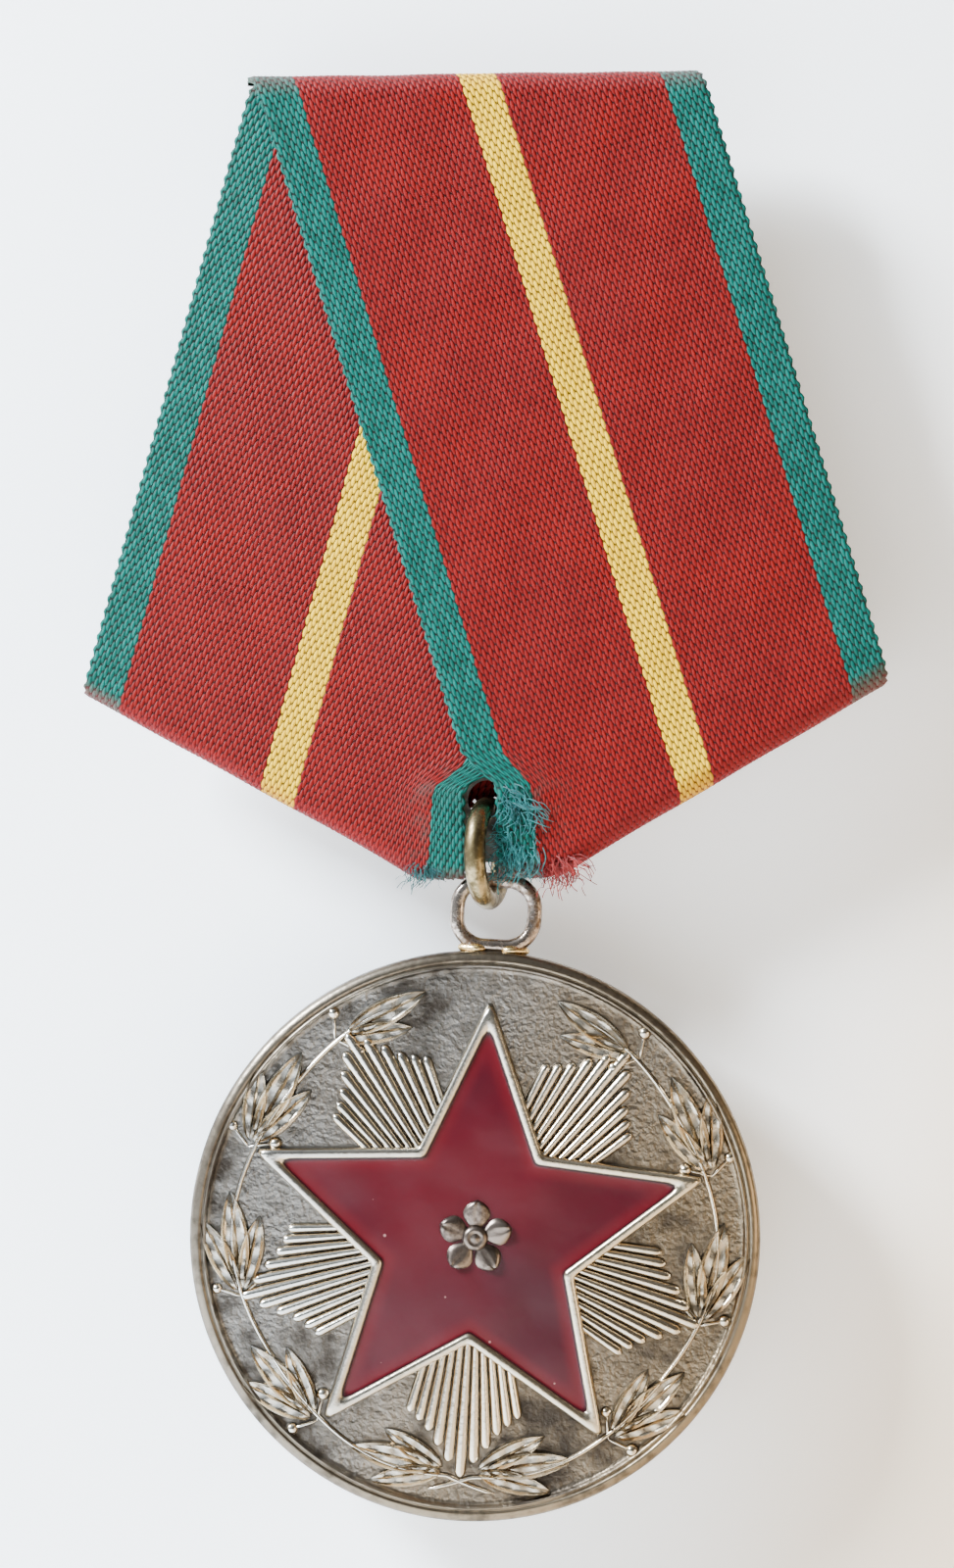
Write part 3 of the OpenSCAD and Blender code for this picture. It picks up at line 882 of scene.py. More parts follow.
class Scatter:
    """Copies a small shape onto points with Geometry Nodes, turned and sized by values on the points."""

    def __init__(self) -> None:
        tree = bpy.data.node_groups.new("copies_on_points", "GeometryNodeTree")
        face = tree.interface
        face.new_socket("Geometry", in_out="INPUT", socket_type="NodeSocketGeometry")
        kinds = (("Shape", "NodeSocketObject"), ("Finish", "NodeSocketMaterial"),
                 ("Uneven", "NodeSocketFloat"))
        self.sockets = {key: face.new_socket(key, in_out="INPUT", socket_type=kind).identifier
                        for key, kind in kinds}
        face.new_socket("Geometry", in_out="OUTPUT", socket_type="NodeSocketGeometry")
        w = Wires(tree)
        given, out = w.add("NodeGroupInput"), w.add("NodeGroupOutput")
        shape = w.signal("GeometryNodeObjectInfo", {"Object": given.outputs["Shape"]}, "Geometry",
                         transform_space="RELATIVE")
        turn, size = (w.signal("GeometryNodeInputNamedAttribute", {"Name": name}, data_type="FLOAT")
                      for name in ("turn", "size"))
        spin = w.signal("ShaderNodeCombineXYZ", {"Y": turn})
        uneven = Signal(w, given.outputs["Uneven"])
        # Sockets 2, 3 and 8 are the lowest value, the highest value and the seed
        chance = w.signal("FunctionNodeRandomValue", {2: 1.0 - uneven, 3: uneven + 1.0, 8: 7}, 1,
                          data_type="FLOAT")
        copies = w.signal("GeometryNodeInstanceOnPoints", {
            "Points": given.outputs["Geometry"], "Instance": shape, "Rotation": spin, "Scale": size * chance})
        solid = w.signal("GeometryNodeRealizeInstances", {"Geometry": copies})
        done = w.signal("GeometryNodeSetMaterial", {"Geometry": solid, "Material": given.outputs["Finish"]})
        w.join(done, out.inputs[0])
        self.tree = tree

    def place(self, name: str, shape: Shape, spots: np.ndarray, turn: np.ndarray, size: np.ndarray,
              look: bpy.types.Material, uneven: float = 0.0) -> bpy.types.Object:
        """Copies a shape onto spots.

        Args:
            name: The finished piece's name.
            shape: The shape to copy, round the origin.
            spots: Where the copies go, in millimetres.
            turn: Each copy's turn about Y, in radians.
            size: Each copy's size.
            look: The material.
            uneven: How much the sizes vary at random.

        Returns:
            The piece, as a plain mesh.
        """
        model = shape.build(f"{name}_shape")
        carrier = Shape.of(spots, [], turn=turn, size=size).build(f"{name}_points")
        modifier = carrier.modifiers.new("copies", "NODES")
        modifier.node_group = self.tree
        for key, value in (("Shape", model), ("Finish", look), ("Uneven", uneven)):
            modifier[self.sockets[key]] = value
        graph = bpy.context.evaluated_depsgraph_get()
        mesh = bpy.data.meshes.new_from_object(carrier.evaluated_get(graph), depsgraph=graph)
        made = bpy.data.objects.new(name, mesh)
        bpy.context.scene.collection.objects.link(made)
        for used in (carrier, model):
            bpy.data.objects.remove(used)
        mesh.shade_smooth()
        mesh.set_sharp_from_angle(angle=math.radians(50))
        return made


def dress(obj: bpy.types.Object, look: bpy.types.Material, body: Body, slot: str,
          *nodes: str) -> bpy.types.Object:
    """Gives a piece its finish and its body, and hides the CAD nodes that it stands for.

    Args:
        obj: The piece.
        look: Its material.
        body: The body that it rides on.
        slot: The record's material slot; not used.
        *nodes: CAD nodes that it replaces.

    Returns:
        The piece.
    """
    if not obj.data.materials:
        obj.data.materials.append(look)
    obj.data.materials[0] = look
    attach(obj, body.value)
    if nodes:
        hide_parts(*nodes)
    LOG.info("%s: %d faces, on %s", obj.name, len(obj.data.polygons), body.value)
    return obj


@dataclass
class MedalDisc:
    """The struck disc: field, rim, star with its wall and enamel, rays, wreath and the rosette.

    Attributes:
        star_r: Radius to the star's points.
        star_in: Radius to the star's notches.
        wall: Thickness of the star's wall.
        pivot_z: Z of the point where the lug hangs on the ring.
        drop: From that point down to the disc's middle.
        offset: How far the disc's middle lies to the right of the lug's.
        rest_turn: The disc's turn at rest, in degrees.
        ray_ends: End radius of the rays, from the middle of a bundle outwards.
        hang: Carries a piece made round the disc's middle to its place.
        half: Half the angle of the star's points.
    """

    finish: Finish
    scatter: Scatter
    star_r: float = 13.4
    star_in: float = 5.95
    wall: float = 0.55
    pivot_z: float = -37.5
    drop: float = 18.9
    offset: float = 0.45
    rest_turn: float = 4.5
    ray_ends: tuple[float, ...] = (13.5, 12.7, 11.9, 11.2, 10.8, 10.5)
    hang: Matrix = field(init=False)
    half: float = field(init=False)

    def __post_init__(self) -> None:
        turn = Matrix.Rotation(math.radians(self.rest_turn), 4, "Y")
        down = Matrix.Translation((self.offset * MM, 0, -self.drop * MM))
        self.hang = Matrix.Translation((0, 0, self.pivot_z * MM)) @ turn @ down
        self.half = math.atan2(self.star_in * math.sin(FIFTH / 2),
                               self.star_r - self.star_in * math.cos(FIFTH / 2))

    def shrink(self, inset: float) -> float:
        """Gives the star's size when it is drawn in by a margin, as a share."""
        return 1 - inset / (self.star_r * math.sin(self.half))

    def add(self, obj: bpy.types.Object, look: bpy.types.Material, slot: str,
            *nodes: str) -> bpy.types.Object:
        """Hangs a piece made round the disc's middle, and dresses it."""
        obj.data.transform(self.hang)
        return dress(obj, look, Body.MEDAL, slot, *nodes)

    def star_outline(self, inset: float) -> np.ndarray:
        """Gives the star's outline, drawn in by a margin, with slightly rounded corners.

        Args:
            inset: The margin.

        Returns:
            X and Z of the outline's points.
        """
        steps, soft_point, soft_notch = 14, 0.8, 0.25
        a = angles(10)
        r = np.where(np.arange(10) % 2 == 0, self.star_r, self.star_in) * self.shrink(inset)
        corner = np.stack([r * np.sin(a), r * np.cos(a)], 1)
        length = np.linalg.norm(corner[1] - corner[0])
        cuts = [min(soft / length, 0.3) for soft in (soft_point, soft_notch) * 5]
        points = []
        for i, cut in enumerate(cuts):
            here, ahead, behind = corner[i], corner[(i + 1) % 10], corner[i - 1]
            one, two = here + (behind - here) * cut, here + (ahead - here) * cut
            for t in (0.0, 0.33, 0.67):
                points.append((1 - t) ** 2 * one + 2 * t * (1 - t) * here + t * t * two)
            for k in range(steps):
                points.append(two + (ahead - here) * (1 - cut - cuts[(i + 1) % 10]) * k / steps)
        return np.array(points)

    def inside_star(self, x: float, z: float, inset: float) -> bool:
        """Tells whether a point lies inside the star drawn in by a margin."""
        a = abs((math.atan2(x, z) + FIFTH / 2) % FIFTH - FIFTH / 2)
        r = math.hypot(x, z)
        point = self.star_r * self.shrink(inset)
        return r * math.sin(a) <= (point - r * math.cos(a)) * math.tan(self.half)

    def blank(self) -> None:
        """Makes the round blank with its bevelled rim and sunk back."""
        profile = [(0, -3.45), (8, -3.45), (15.15, -3.45), (15.25, -3.4), (15.3, -3.16),
                   (15.4, -3.1), (15.8, -3.1), (15.93, -3.16), (16.0, -3.35), (16.0, -4.5), (15.95, -4.68),
                   (15.8, -4.84), (15.55, -4.93), (15.44, -4.92), (15.38, -4.84), (15.32, -4.84),
                   (15.27, -4.93), (15.2, -4.95), (15.13, -4.92), (15.06, -4.70), (14.98, -4.61),
                   (14.8, FIELD_Y), (10, FIELD_Y), (0, FIELD_Y)]
        rim_start, rim_end = 2, 16
        sides = 256
        blank = Shape.of(*turned(profile, sides)).build("medal_blank", 50.0)
        disc = self.add(blank, FIELD.build(self.finish), "medal_silver", "medal_disc")
        disc.data.materials.append(RIM.build(self.finish))
        for face in disc.data.polygons:
            face.material_index = int(rim_start <= face.index // sides < rim_end)

    def loft(self, name: str, levels: list[tuple[float, float, float]], close: bool, key: str,
             smooth: float) -> bpy.types.Object:
        """Joins star outlines into a wall or a filled surface.

        Args:
            name: The piece's name.
            levels: Inset, Y and the value of key for each outline.
            close: Whether the last outline closes to the middle.
            key: The name of the value.
            smooth: Edges sharper than this many degrees stay sharp.

        Returns:
            The piece.
        """
        outlines = [self.star_outline(inset) for inset, _, _ in levels]
        m = len(outlines[0])
        points = np.vstack([np.stack([o[:, 0], np.full(m, y), o[:, 1]], 1)
                            for o, (_, y, _) in zip(outlines, levels)])
        value = np.repeat([v for _, _, v in levels], m)
        faces = grid_faces(len(levels), m, wrap=True)
        if close:
            points = np.vstack([points, [[0, levels[-1][1], 0]]])
            value = np.append(value, levels[-1][2])
            last = (len(levels) - 1) * m
            faces += [(len(levels) * m, last + i, last + (i + 1) % m) for i in range(m)]
        return Shape.of(points, faces, **{key: value}).build(name, smooth)

    def star(self) -> None:
        """Makes the star's raised wall and its enamel."""
        inner = self.wall
        levels = [(-0.06, -4.5, 0.0), (-0.05, -4.62, 0.1), (0.02, -5.1, 0.6), (0.1, -5.22, 1.0),
                  (0.2, -5.25, 1.0), (inner - 0.18, -5.25, 1.0), (inner - 0.08, -5.21, 0.8),
                  (inner, -5.12, 0.1), (inner + 0.04, -4.9, 0.0)]
        self.add(self.loft("star_wall", levels, False, "rise", 45.0), WALL.build(self.finish), "medal_silver")
        glass = [(inner - 0.03, -4.9, 1.0), (inner - 0.03, -5.10, 1.0), (inner + 0.06, -5.075, 0.98),
                 (inner + 0.2, -5.07, 0.9), (inner + 0.5, -5.07, 0.7), (inner + 0.9, -5.07, 0.4),
                 (1.9, -5.07, 0.15), (2.6, -5.07, 0.0), (3.4, -5.07, 0.0)]
        self.add(self.loft("star_enamel", glass, True, "edge", 60.0), enamel_material(), "red_enamel",
                 "enamel_star")

    def rays(self) -> None:
        """Makes the five bundles of eleven rounded rays between the star's arms."""
        shape = Shape()
        a = np.linspace(0, math.pi, 9)
        far = len(self.ray_ends) - 1
        apex_back, spread, tip_l = 3.2, 2.6, 0.42
        for k in range(5):
            axis = FIFTH / 2 + k * FIFTH
            forward = heading(axis)
            aside = np.array([math.cos(axis), 0, -math.sin(axis)])
            apex = -apex_back * forward
            for i in range(-far, far + 1):
                turn = math.radians(spread * i)
                along = forward * math.cos(turn) + aside * math.sin(turn)
                across = aside * math.cos(turn) - forward * math.sin(turn)
                reach = np.arange(6.0, 18.0, 0.02)
                spots = apex + reach[:, None] * along
                out = np.array([not self.inside_star(p[0], p[2], 0.25) for p in spots[::5]])
                first = reach[::5][np.argmax(out)]
                last = reach[np.argmax(np.hypot(spots[:, 0], spots[:, 2]) > self.ray_ends[abs(i)])]
                quarter = np.linspace(0, math.pi / 2, 6)
                t = np.concatenate([np.linspace(first, last - tip_l, 8)[:-1],
                                    last - tip_l + np.sin(quarter) * tip_l])
                w = np.concatenate([np.ones(7), np.cos(quarter) * 0.97 + 0.03])
                wide = np.minimum(0.0222 * t, 0.335) * w
                high = 0.40 * np.sqrt(w)
                x = np.cos(a)[None, :] * wide[:, None]
                h = np.sin(a)[None, :] ** 0.9 * high[:, None]
                points = apex + t[:, None, None] * along + x[..., None] * across
                points[..., 1] = FIELD_Y + 0.03 - h
                shape.add(points.reshape(-1, 3), grid_faces(len(t), len(a), flip=True),
                          rise=np.tile(np.clip(np.sin(a), 0, 1), len(t)))
        self.add(shape.build("star_rays", 60.0), SILVER.build(self.finish), "medal_silver")

    def leaf(self) -> Shape:
        """Makes one bay leaf of unit length, with a raised outline and midrib."""
        s, t = np.meshgrid(np.linspace(0, 1, 19), np.linspace(-1, 1, 15), indexing="ij")
        wide = 0.168 * np.sin(math.pi * s ** 0.9) ** 0.75
        line = np.exp(-((abs(t) - 0.82) / 0.16) ** 2)
        rib = np.exp(-(t / 0.13) ** 2)
        hatch = 0.5 + 0.5 * np.sin(26 * s - 3.0 * abs(t))
        up = np.maximum(np.maximum(line, rib * (1 - 0.5 * s)), 0.30 + 0.12 * hatch)
        up = up * np.clip((1 - abs(t)) / 0.12, 0, 1) * np.clip(np.minimum(s, 1 - s) / 0.03, 0.1, 1)
        points = np.stack([t * wide, self.relief_y(up), s], -1).reshape(-1, 3)
        return Shape.of(points, grid_faces(19, 15, flip=True), rise=up.reshape(-1))

    def relief_y(self, up: np.ndarray) -> np.ndarray:
        """Gives Y for a unit-length relief, so that a 4 mm leaf stands 0.38 mm high."""
        return 0.006 - 0.10 * up

    def wreath(self) -> None:
        """Makes the two branches: leaves in threes, with a pair at the end, berries in pairs, and stems."""
        spots, turns, sizes, berries = [], [], [], []
        stems = Shape()
        # Each joint's angle up from the bottom, its leaves' length and its radius
        joints = ((3.0, 4.3, 13.2), (37.0, 4.5, 13.6), (72.0, 4.7, 13.5), (108.0, 4.6, 13.7),
                  (141.0, 4.4, 13.6))
        leaf_parts = ((0.0, 1.12, 0.75), (21.0, 0.95, 0.35), (-19.0, 0.95, 0.35))
        for side in (-1, 1):
            for k, (degrees, length, r) in enumerate(joints):
                a = math.radians(180 - side * degrees)
                base = r * heading(a)
                for j, (open_turn, part, start) in enumerate(leaf_parts):
                    if k == 4 and j == 1:
                        continue
                    turns.append(a - side * (math.pi / 2 + math.radians(8 - open_turn)))
                    spots.append(base + heading(turns[-1]) * start)
                    sizes.append(length * part)
                for bend, far in ((62, 1.55), (-58, 1.45)) if k else ():
                    ahead = heading(a - side * (math.pi / 2 + math.radians(bend)))
                    berries.append(base + ahead * far)
                    self.stem(stems, base + ahead * np.linspace(0, far, 6)[:, None], 0.11)
            b = np.linspace(-7 if side > 0 else -8, 158, 90)
            a = np.radians(180 - side * b)
            r = 13.4 + 0.22 * np.sin(b * 0.09) + np.where(b < 3, (3 - b) * 0.11, 0)
            self.stem(stems, np.stack([r * np.sin(a), 0 * a, r * np.cos(a)], 1), 0.15)
        place = np.array(spots)
        place[:, 1] = FIELD_Y
        leaves = self.scatter.place("wreath_leaves", self.leaf(), place, np.array(turns), np.array(sizes),
                                    self.silver(), 0.04)
        self.add(leaves, self.silver(), "medal_silver")
        place = np.array(berries)
        place[:, 1] = FIELD_Y
        rows, cols = 6, 14
        lat, lon = np.meshgrid(np.linspace(0.08, math.pi / 2, rows), angles(cols), indexing="ij")
        out = np.sin(lat)
        points = np.stack([out * np.sin(lon), 0.05 - 1.05 * np.cos(lat), out * np.cos(lon)], -1)
        points = np.vstack([points.reshape(-1, 3), [[0, -1.0, 0]]])
        faces = grid_faces(rows, cols, wrap=True, flip=True)
        faces += [(rows * cols, i, (i + 1) % cols) for i in range(cols)]
        ball = Shape.of(points, faces, rise=np.append(np.cos(lat).reshape(-1), 1.0))
        round_ones = self.scatter.place("wreath_berries", ball, place, np.zeros(len(place)),
                                        np.full(len(place), 0.36), self.silver(), 0.12)
        self.add(round_ones, self.silver(), "medal_silver")
        self.add(stems.build("wreath_stems", 60.0), self.silver(), "medal_silver")

    def silver(self) -> bpy.types.Material:
        """Gives the finish of the struck relief."""
        return bpy.data.materials.get(SILVER.name) or SILVER.build(self.finish)

    def stem(self, shape: Shape, path: np.ndarray, radius: float) -> None:
        """Adds a half-round ridge along a path on the field."""
        path = path.copy()
        path[:, 1] = FIELD_Y + 0.02
        ahead = np.gradient(path, axis=0)
        ahead /= np.linalg.norm(ahead, axis=1)[:, None]
        across = np.stack([ahead[:, 2], np.zeros(len(path)), -ahead[:, 0]], 1)
        a = np.linspace(0, math.pi, 7)
        end = np.ones(len(path))
        end[0] = end[-1] = 0.3
        points = path[:, None] + np.cos(a)[None, :, None] * (radius * end)[:, None, None] * across[:, None]
        points[..., 1] -= np.sin(a)[None, :] * 1.9 * (radius * end)[:, None]
        shape.add(points.reshape(-1, 3), grid_faces(len(path), 7, flip=True),
                  rise=np.tile(np.sin(a), len(path)))

    def rosette(self) -> None:
        """Makes the plain five-petalled boss at the star's middle."""
        s, t = np.meshgrid(np.linspace(0, 1, 13), np.linspace(-1, 1, 11), indexing="ij")
        wide = 0.74 * np.sin(math.pi * np.clip(s, 0, 1) ** 1.15) ** 0.65 + 0.02
        dome = np.sqrt(np.clip(1 - t ** 2, 0, 1))
        up = dome * (0.35 + 0.65 * s) * np.clip((1 - s) / 0.1, 0, 1) ** 0.5
        up = up - 0.22 * np.exp(-(t / 0.16) ** 2) * np.clip(s, 0, 1)
        points = np.stack([t * wide, 0.05 - 0.34 * np.maximum(up, 0), s * 1.7], -1).reshape(-1, 3)
        petal = Shape.of(points, grid_faces(13, 11, flip=True), rise=np.clip(up, 0, 1).reshape(-1))
        spots = np.zeros((5, 3))
        turn = angles(5)
        spots[:, 0], spots[:, 2] = 0.42 * np.sin(turn), 0.42 * np.cos(turn)
        spots[:, 1] = -5.15
        look = DEVICE.build(self.finish)
        self.add(self.scatter.place("rosette_petals", petal, spots, turn, np.ones(5), look), look,
                 "device_silver", "centre_device")
        profile = [(r, -5.1 - h) for r, h in ((0.72, 0.06), (0.70, 0.30), (0.60, 0.46), (0.42, 0.52),
                                              (0.34, 0.46), (0.2, 0.50), (0.06, 0.55), (0, 0.555))]
        boss = Shape.of(*turned(profile, 40), rise=0.8)
        self.add(boss.build("rosette_boss", 60.0), look, "device_silver")

    def lug(self) -> None:
        """Makes the rounded wire loop on top and the braze that holds it."""
        outer_w, low, high, wire, corner = 5.15, -40.5, -36.0, 0.8, 1.55
        middle_z = self.pivot_z - self.drop
        x = (outer_w - wire) / 2 - corner
        bottom, top = low + wire / 2 - middle_z + corner, high - wire / 2 - middle_z - corner
        path = []
        for cx, cz, start in ((x, top, 90), (x, bottom, 0), (-x, bottom, -90), (-x, top, -180)):
            for d in np.radians(np.linspace(start, start - 90, 12)):
                path.append((cx + corner * math.cos(d), PLATE_Y, cz + corner * math.sin(d)))
        dense = []
        for one, two in zip(path, path[1:] + path[:1]):
            one, two = np.array(one), np.array(two)
            parts = max(1, round(np.linalg.norm(two - one) / 0.25))
            dense += [one + (two - one) * i / parts for i in range(parts)]
        points, faces = sweep(np.array(dense), circle_section(0.42, 16, 0.8), True,
                              np.array([0.0, 1.0, 0.0]))
        self.add(Shape.of(points, faces).build("lug_loop", 60.0), LUG.build(self.finish), "medal_silver",
                 "suspension_lug")
        braze = Shape()
        for side in (-1, 1):
            s, t = np.meshgrid(np.linspace(0, math.pi, 13), angles(24), indexing="ij")
            wobble = 1 + 0.12 * np.sin(3 * t + side) * np.sin(s)
            x = side * 1.1 + 0.85 * np.sin(s) * np.cos(t) * wobble
            y = PLATE_Y + 0.62 * np.sin(s) * np.sin(t) * wobble
            z = 16.12 + 0.34 * np.cos(s) * wobble
            points = np.stack([x, y, z], -1).reshape(-1, 3)
            braze.add(points, grid_faces(13, 24, wrap=True))
        self.add(braze.build("lug_braze", 60.0), BRAZE.build(self.finish), "solder", "lug_solder")

    def build(self) -> None:
        """Builds every piece of the medal."""
        for step in (self.blank, self.star, self.rays, self.wreath, self.rosette, self.lug):
            step()


@dataclass
class Hardware:
    """The ring, the plate, the stitches and the pin behind the mount.

    Attributes:
        frame: The loaded frame.
        ring_z: Z of the ring's middle.
        ring_r: Radius to the middle of the ring's wire.
        wire: Radius of the wire.
        yaw: The ring's turn about Z, in degrees.
    """

    finish: Finish
    scatter: Scatter
    frame: dict
    ring_z: float = -34.9
    ring_r: float = 2.6
    wire: float = 0.6
    yaw: float = 17.0

    def ring(self) -> None:
        """Makes the jump ring, with a dent at its closed joint."""
        t = angles(160)
        a = math.radians(self.yaw)
        near = np.array([-math.sin(a), -math.cos(a), 0.0])
        side = np.array([math.cos(a), -math.sin(a), 0.0])
        path = self.ring_r * (np.cos(t)[:, None] * near + np.sin(t)[:, None] * np.array([0, 0, 1.0]))
        path += np.array([0, PLATE_Y, self.ring_z])
        dent = 1 - 0.10 * np.exp(-((t - math.radians(82)) / 0.035) ** 2)
        section = circle_section(self.wire, 20)[None] * dent[:, None, None]
        points, faces = sweep(path, section, True, side)
        wire = Shape.of(points, faces).build("jump_ring_wire", 60.0)
        dress(wire, BRASS.build(self.finish), Body.RING, "ring_brass", "jump_ring")

    def stitches(self) -> None:
        """Makes the hand stitches that close the ribbon behind the mount."""
        t = np.linspace(-1, 1, 15)
        path = np.stack([0.10 * np.sin(3 * t), -0.13 + 0.14 * t ** 2, 1.15 * t], 1)
        twist = angles(10)
        thick = 0.15 + 0.03 * np.cos(2 * twist)
        section = np.stack([np.stack([np.cos(twist + 5 * s) * thick, np.sin(twist + 5 * s) * thick], 1)
                            for s in t])
        section *= np.where(abs(t) > 0.95, 0.5, 1.0)[:, None, None]
        points, faces = sweep(path, section, False, np.array([1.0, 0.0, 0.0]))
        shape = Shape.of(points * [1, -1, 1], [f[::-1] for f in faces])
        count, pitch = 9, 2.3
        across = (np.arange(count) - (count - 1) / 2) * pitch
        spots = np.stack([across, np.full(count, -2.40), np.full(count, 3.4)], 1)
        look = thread_material("sewing_thread", (0.30, 0.03, 0.03), (0.45, 0.08, 0.06))
        made = self.scatter.place("hem_stitches", shape, spots, np.full(count, math.radians(25)),
                                  np.ones(count), look, 0.06)
        dress(made, look, Body.MOUNT, "thread", "ribbon_stitches")

    def bare_parts(self) -> None:
        """Gives the CAD parts that already have the right shape their metal."""
        # The plate's near-black finish is painted shade
        plate, steel = SHADED_PLATE.build(self.finish), STEEL.build(self.finish)
        for node, look in (("mount_plate", plate), ("bracket_rivets", steel), ("pin_bracket", steel),
                           ("hinge_pin", steel), ("brooch_needle", steel)):
            mesh = self.frame["nodes"][node].data
            for i in range(len(mesh.materials)):
                mesh.materials[i] = look
            LOG.info("%s: new finish %s", node, look.name)

    def build(self) -> None:
        """Builds every piece of the hardware."""
        self.ring()
        self.stitches()
        self.bare_parts()


@dataclass
class Ribbons:
    """The two crossed bands and their frayed threads at the ring's hole."""

    finish: Finish
    scatter: Scatter
    outline: Outline
    weave: Weave

    def bands(self) -> None:
        """Makes both bands, each in two stretches of one cut length of ribbon."""
        look = ribbon_material(self.finish, self.weave)
        for side, name, radius, slit, node in ((Side.LEFT, "left_band", 0.88, 1.35, "ribbon_left_band"),
                                               (Side.RIGHT, "right_band", 1.38, 0.55, "ribbon_right_band")):
            band = RibbonBand(side, self.outline, self.weave, radius, slit)
            front, tail, front_l, tail_l = band.build(name)
            for piece, length in ((front, front_l), (tail, tail_l)):
                dress(piece, look, Body.MOUNT, "ribbon_cloth", node)
                length * MM

    def frays(self) -> None:
        """Makes the loose threads round the ring's hole, as short curved fibres."""
        t = np.linspace(0, 1, 12)
        tuft = Shape()
        chance = np.random.default_rng(11)
        for _ in range(9):
            a, b, c, d, e = chance.normal(0, 1.0, 5)
            x = 0.35 * a + 0.28 * b * t + 0.16 * c * np.sin(4 * t)
            y = -0.16 * np.sin(3.0 * t) * (1 + 0.5 * d)
            path = np.stack([x, y, 0.3 * e - t + 0.12 * b * np.sin(6 * t)], 1)
            points, faces = sweep(path, circle_section(0.024, 5), False, np.array([1.0, 0.0, 0.0]))
            tuft.add(points, faces)
        # Each group's name, two colours, range of X, range of Z, Y, number of tufts and lean
        groups = (("green_frays", (0.001, 0.055, 0.058), (0.008, 0.12, 0.12),
                   (0.8, 2.6), (-36.0, -31.2), -5.42, 24, 0.10),
                  ("red_frays", (0.12, 0.004, 0.004), (0.24, 0.014, 0.012),
                   (3.3, 5.0), (-35.9, -35.2), -5.12, 12, -0.25),
                  ("left_frays", (0.001, 0.05, 0.052), (0.004, 0.085, 0.085),
                   (-4.3, -3.0), (-35.9, -35.3), -4.74, 9, -0.15))
        for name, first, second, wide, high, y, count, lean in groups:
            x = chance.uniform(*wide, count)
            z = chance.uniform(*high, count)
            look = thread_material(name, first, second, 1500.0)
            turn = chance.normal(lean, 0.8, count)
            # Tufts near the lower edge are shorter
            size = chance.uniform(0.7, 1.5, count) * np.where(z < -35.6, 0.55, 1.0)
            spots = np.stack([x, np.full(count, y), z], 1)
            made = self.scatter.place(name, tuft, spots, turn, size, look, 0.2)
            dress(made, look, Body.MOUNT, "thread")

    def build(self) -> None:
        """Builds the bands and the loose threads."""
        self.bands()
        self.frays()


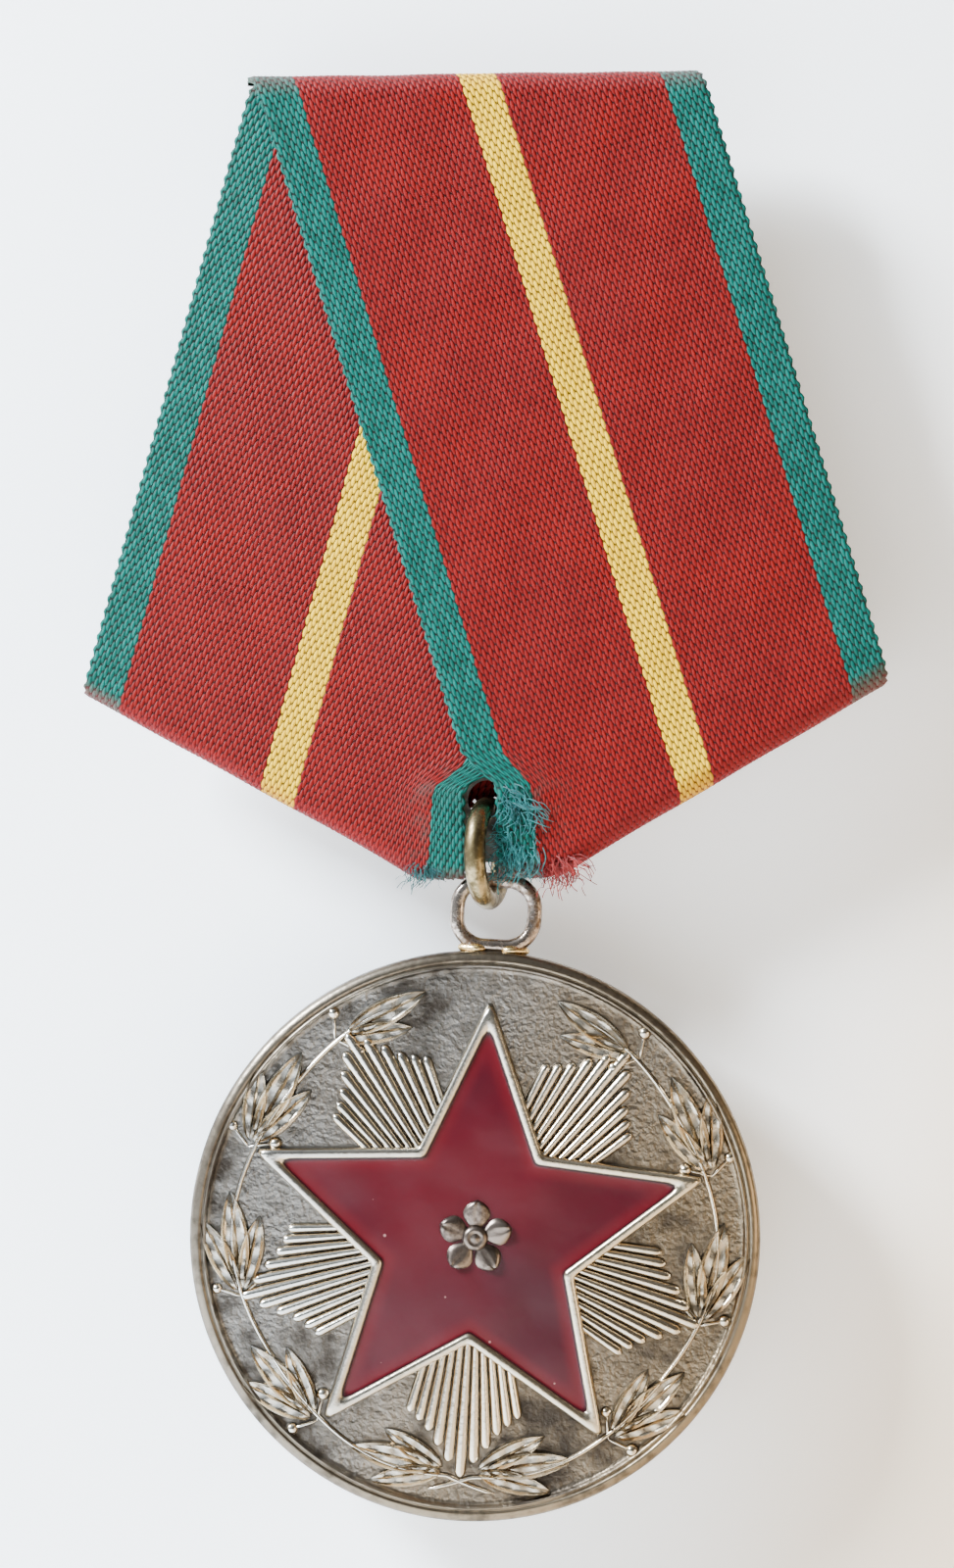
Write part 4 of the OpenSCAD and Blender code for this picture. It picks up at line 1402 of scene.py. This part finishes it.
@dataclass
class Studio:
    """The pale card and floor, the lights and the camera."""

    card_y: float = 1.7
    floor_z: float = -110.0

    def card_material(self, name: str, see_through: bool) -> bpy.types.Material:
        """Makes matt paper that also glows in its own colour, with painted warm shade low on the right. The
        see-through one is clear from behind.
        """
        def fill(w: Wires, shader: bpy.types.Node) -> None:
            x, _, z = w.axes(w.place())
            # Painted warm shade: the colour and the glow turn warmer and darker towards the lower right
            tint = w.mix(w.ramp(x * 22.0 - z * 6.0, 0.42, 1.15), (0.925, 0.945, 0.965), (0.70, 0.565, 0.41))
            w.join(tint, shader.inputs["Base Color"])
            w.join(tint, shader.inputs["Emission Color"])
            if see_through:
                back = w.signal("ShaderNodeNewGeometry", output="Backfacing")
                clear = w.signal("ShaderNodeBsdfTransparent")
                mixed = w.signal("ShaderNodeMixShader", {0: back, 1: shader.outputs[0], 2: clear})
                w.join(mixed, w.tree.nodes["Material Output"].inputs["Surface"])
        return material(name, fill, Roughness=0.85, Emission_Strength=0.36)

    def panel(self, name: str, corners: list[tuple[float, float, float]], look: bpy.types.Material) -> None:
        """Makes one flat stage panel from its corners in millimetres."""
        mesh = bpy.data.meshes.new(name)
        mesh.from_pydata([tuple(c * MM for c in p) for p in corners], [], [(0, 1, 2, 3)])
        mesh.materials.append(look)
        obj = bpy.data.objects.new(name, mesh)
        bpy.context.scene.collection.objects.link(obj)

    def light(self, name: str, place: tuple[float, float, float], power: float, size: float,
              colour: Colour) -> None:
        """Adds a square area light aimed at the medal's middle."""
        data = bpy.data.lights.new(name, "AREA")
        data.energy, data.size, data.color = power, size * MM, colour
        obj = bpy.data.objects.new(name, data)
        obj.location = Vector(place) * MM
        aim = Vector((0, -4 * MM, -32 * MM)) - obj.location
        obj.rotation_euler = aim.to_track_quat("-Z", "Y").to_euler()
        bpy.context.scene.collection.objects.link(obj)

    def camera(self) -> None:
        """Adds the camera, which looks straight at the front from just over two hands away."""
        data = bpy.data.cameras.new("camera")
        data.lens, data.sensor_width = 85.0, 36.0
        data.clip_start, data.clip_end = 0.01, 10
        obj = bpy.data.objects.new("camera", data)
        obj.matrix_world = (Matrix.Translation(Vector((-0.575, -5.2 - 207.0, -31.0)) * MM)
                            @ Matrix.Rotation(math.radians(0.8), 4, "Y")
                            @ Matrix.Rotation(math.radians(90), 4, "X"))
        bpy.context.scene.collection.objects.link(obj)
        bpy.context.scene.camera = obj

    def build(self) -> None:
        """Builds the stage, world, lights and camera."""
        y, z = self.card_y, self.floor_z
        self.panel("card", [(-260, y, -260), (260, y, -260), (260, y, 200), (-260, y, 200)],
                   self.card_material("card_paper", True))
        self.panel("floor", [(-500, -500, z), (500, -500, z), (500, 500, z), (-500, 500, z)],
                   self.card_material("floor_paper", False))
        world = bpy.data.worlds.new("soft_room")
        world.use_nodes = True
        sky = world.node_tree.nodes["Background"]
        w = Wires(world.node_tree)
        x, _, up = w.axes(w.place("Generated"))
        # Cool on the left, warm on the right, and brightest high on the left
        warm = w.mix(w.ramp(x, -0.3, 0.9), (0.78, 0.89, 1.0), (1.0, 0.84, 0.64))
        dim = w.mix(0.74, warm, (0.0, 0.0, 0.0))
        w.join(w.mix(w.ramp(up * 0.75 - x * 0.65, 0.0, 0.95), dim, warm), sky.inputs["Color"])
        sky.inputs["Strength"].default_value = 0.62
        bpy.context.scene.world = world
        self.light("window", (-300, -175, 225), 13.0, 110, (0.84, 0.92, 1.0))
        self.light("lamp", (260, -170, -60), 0.3, 110, (1.0, 0.78, 0.52))
        self.light("behind", (120, 260, 120), 1.2, 200, (1.0, 0.97, 0.92))
        self.camera()


def main() -> None:
    """Builds the whole scene, in order."""
    logging.basicConfig(level=logging.INFO, format="%(name)s %(message)s")
    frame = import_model()
    finish, scatter = Finish(), Scatter()
    Studio().build()
    Ribbons(finish, scatter, Outline(), Weave()).build()
    MedalDisc(finish, scatter).build()
    Hardware(finish, scatter, frame).build()


if __name__ == "__main__":
    main()
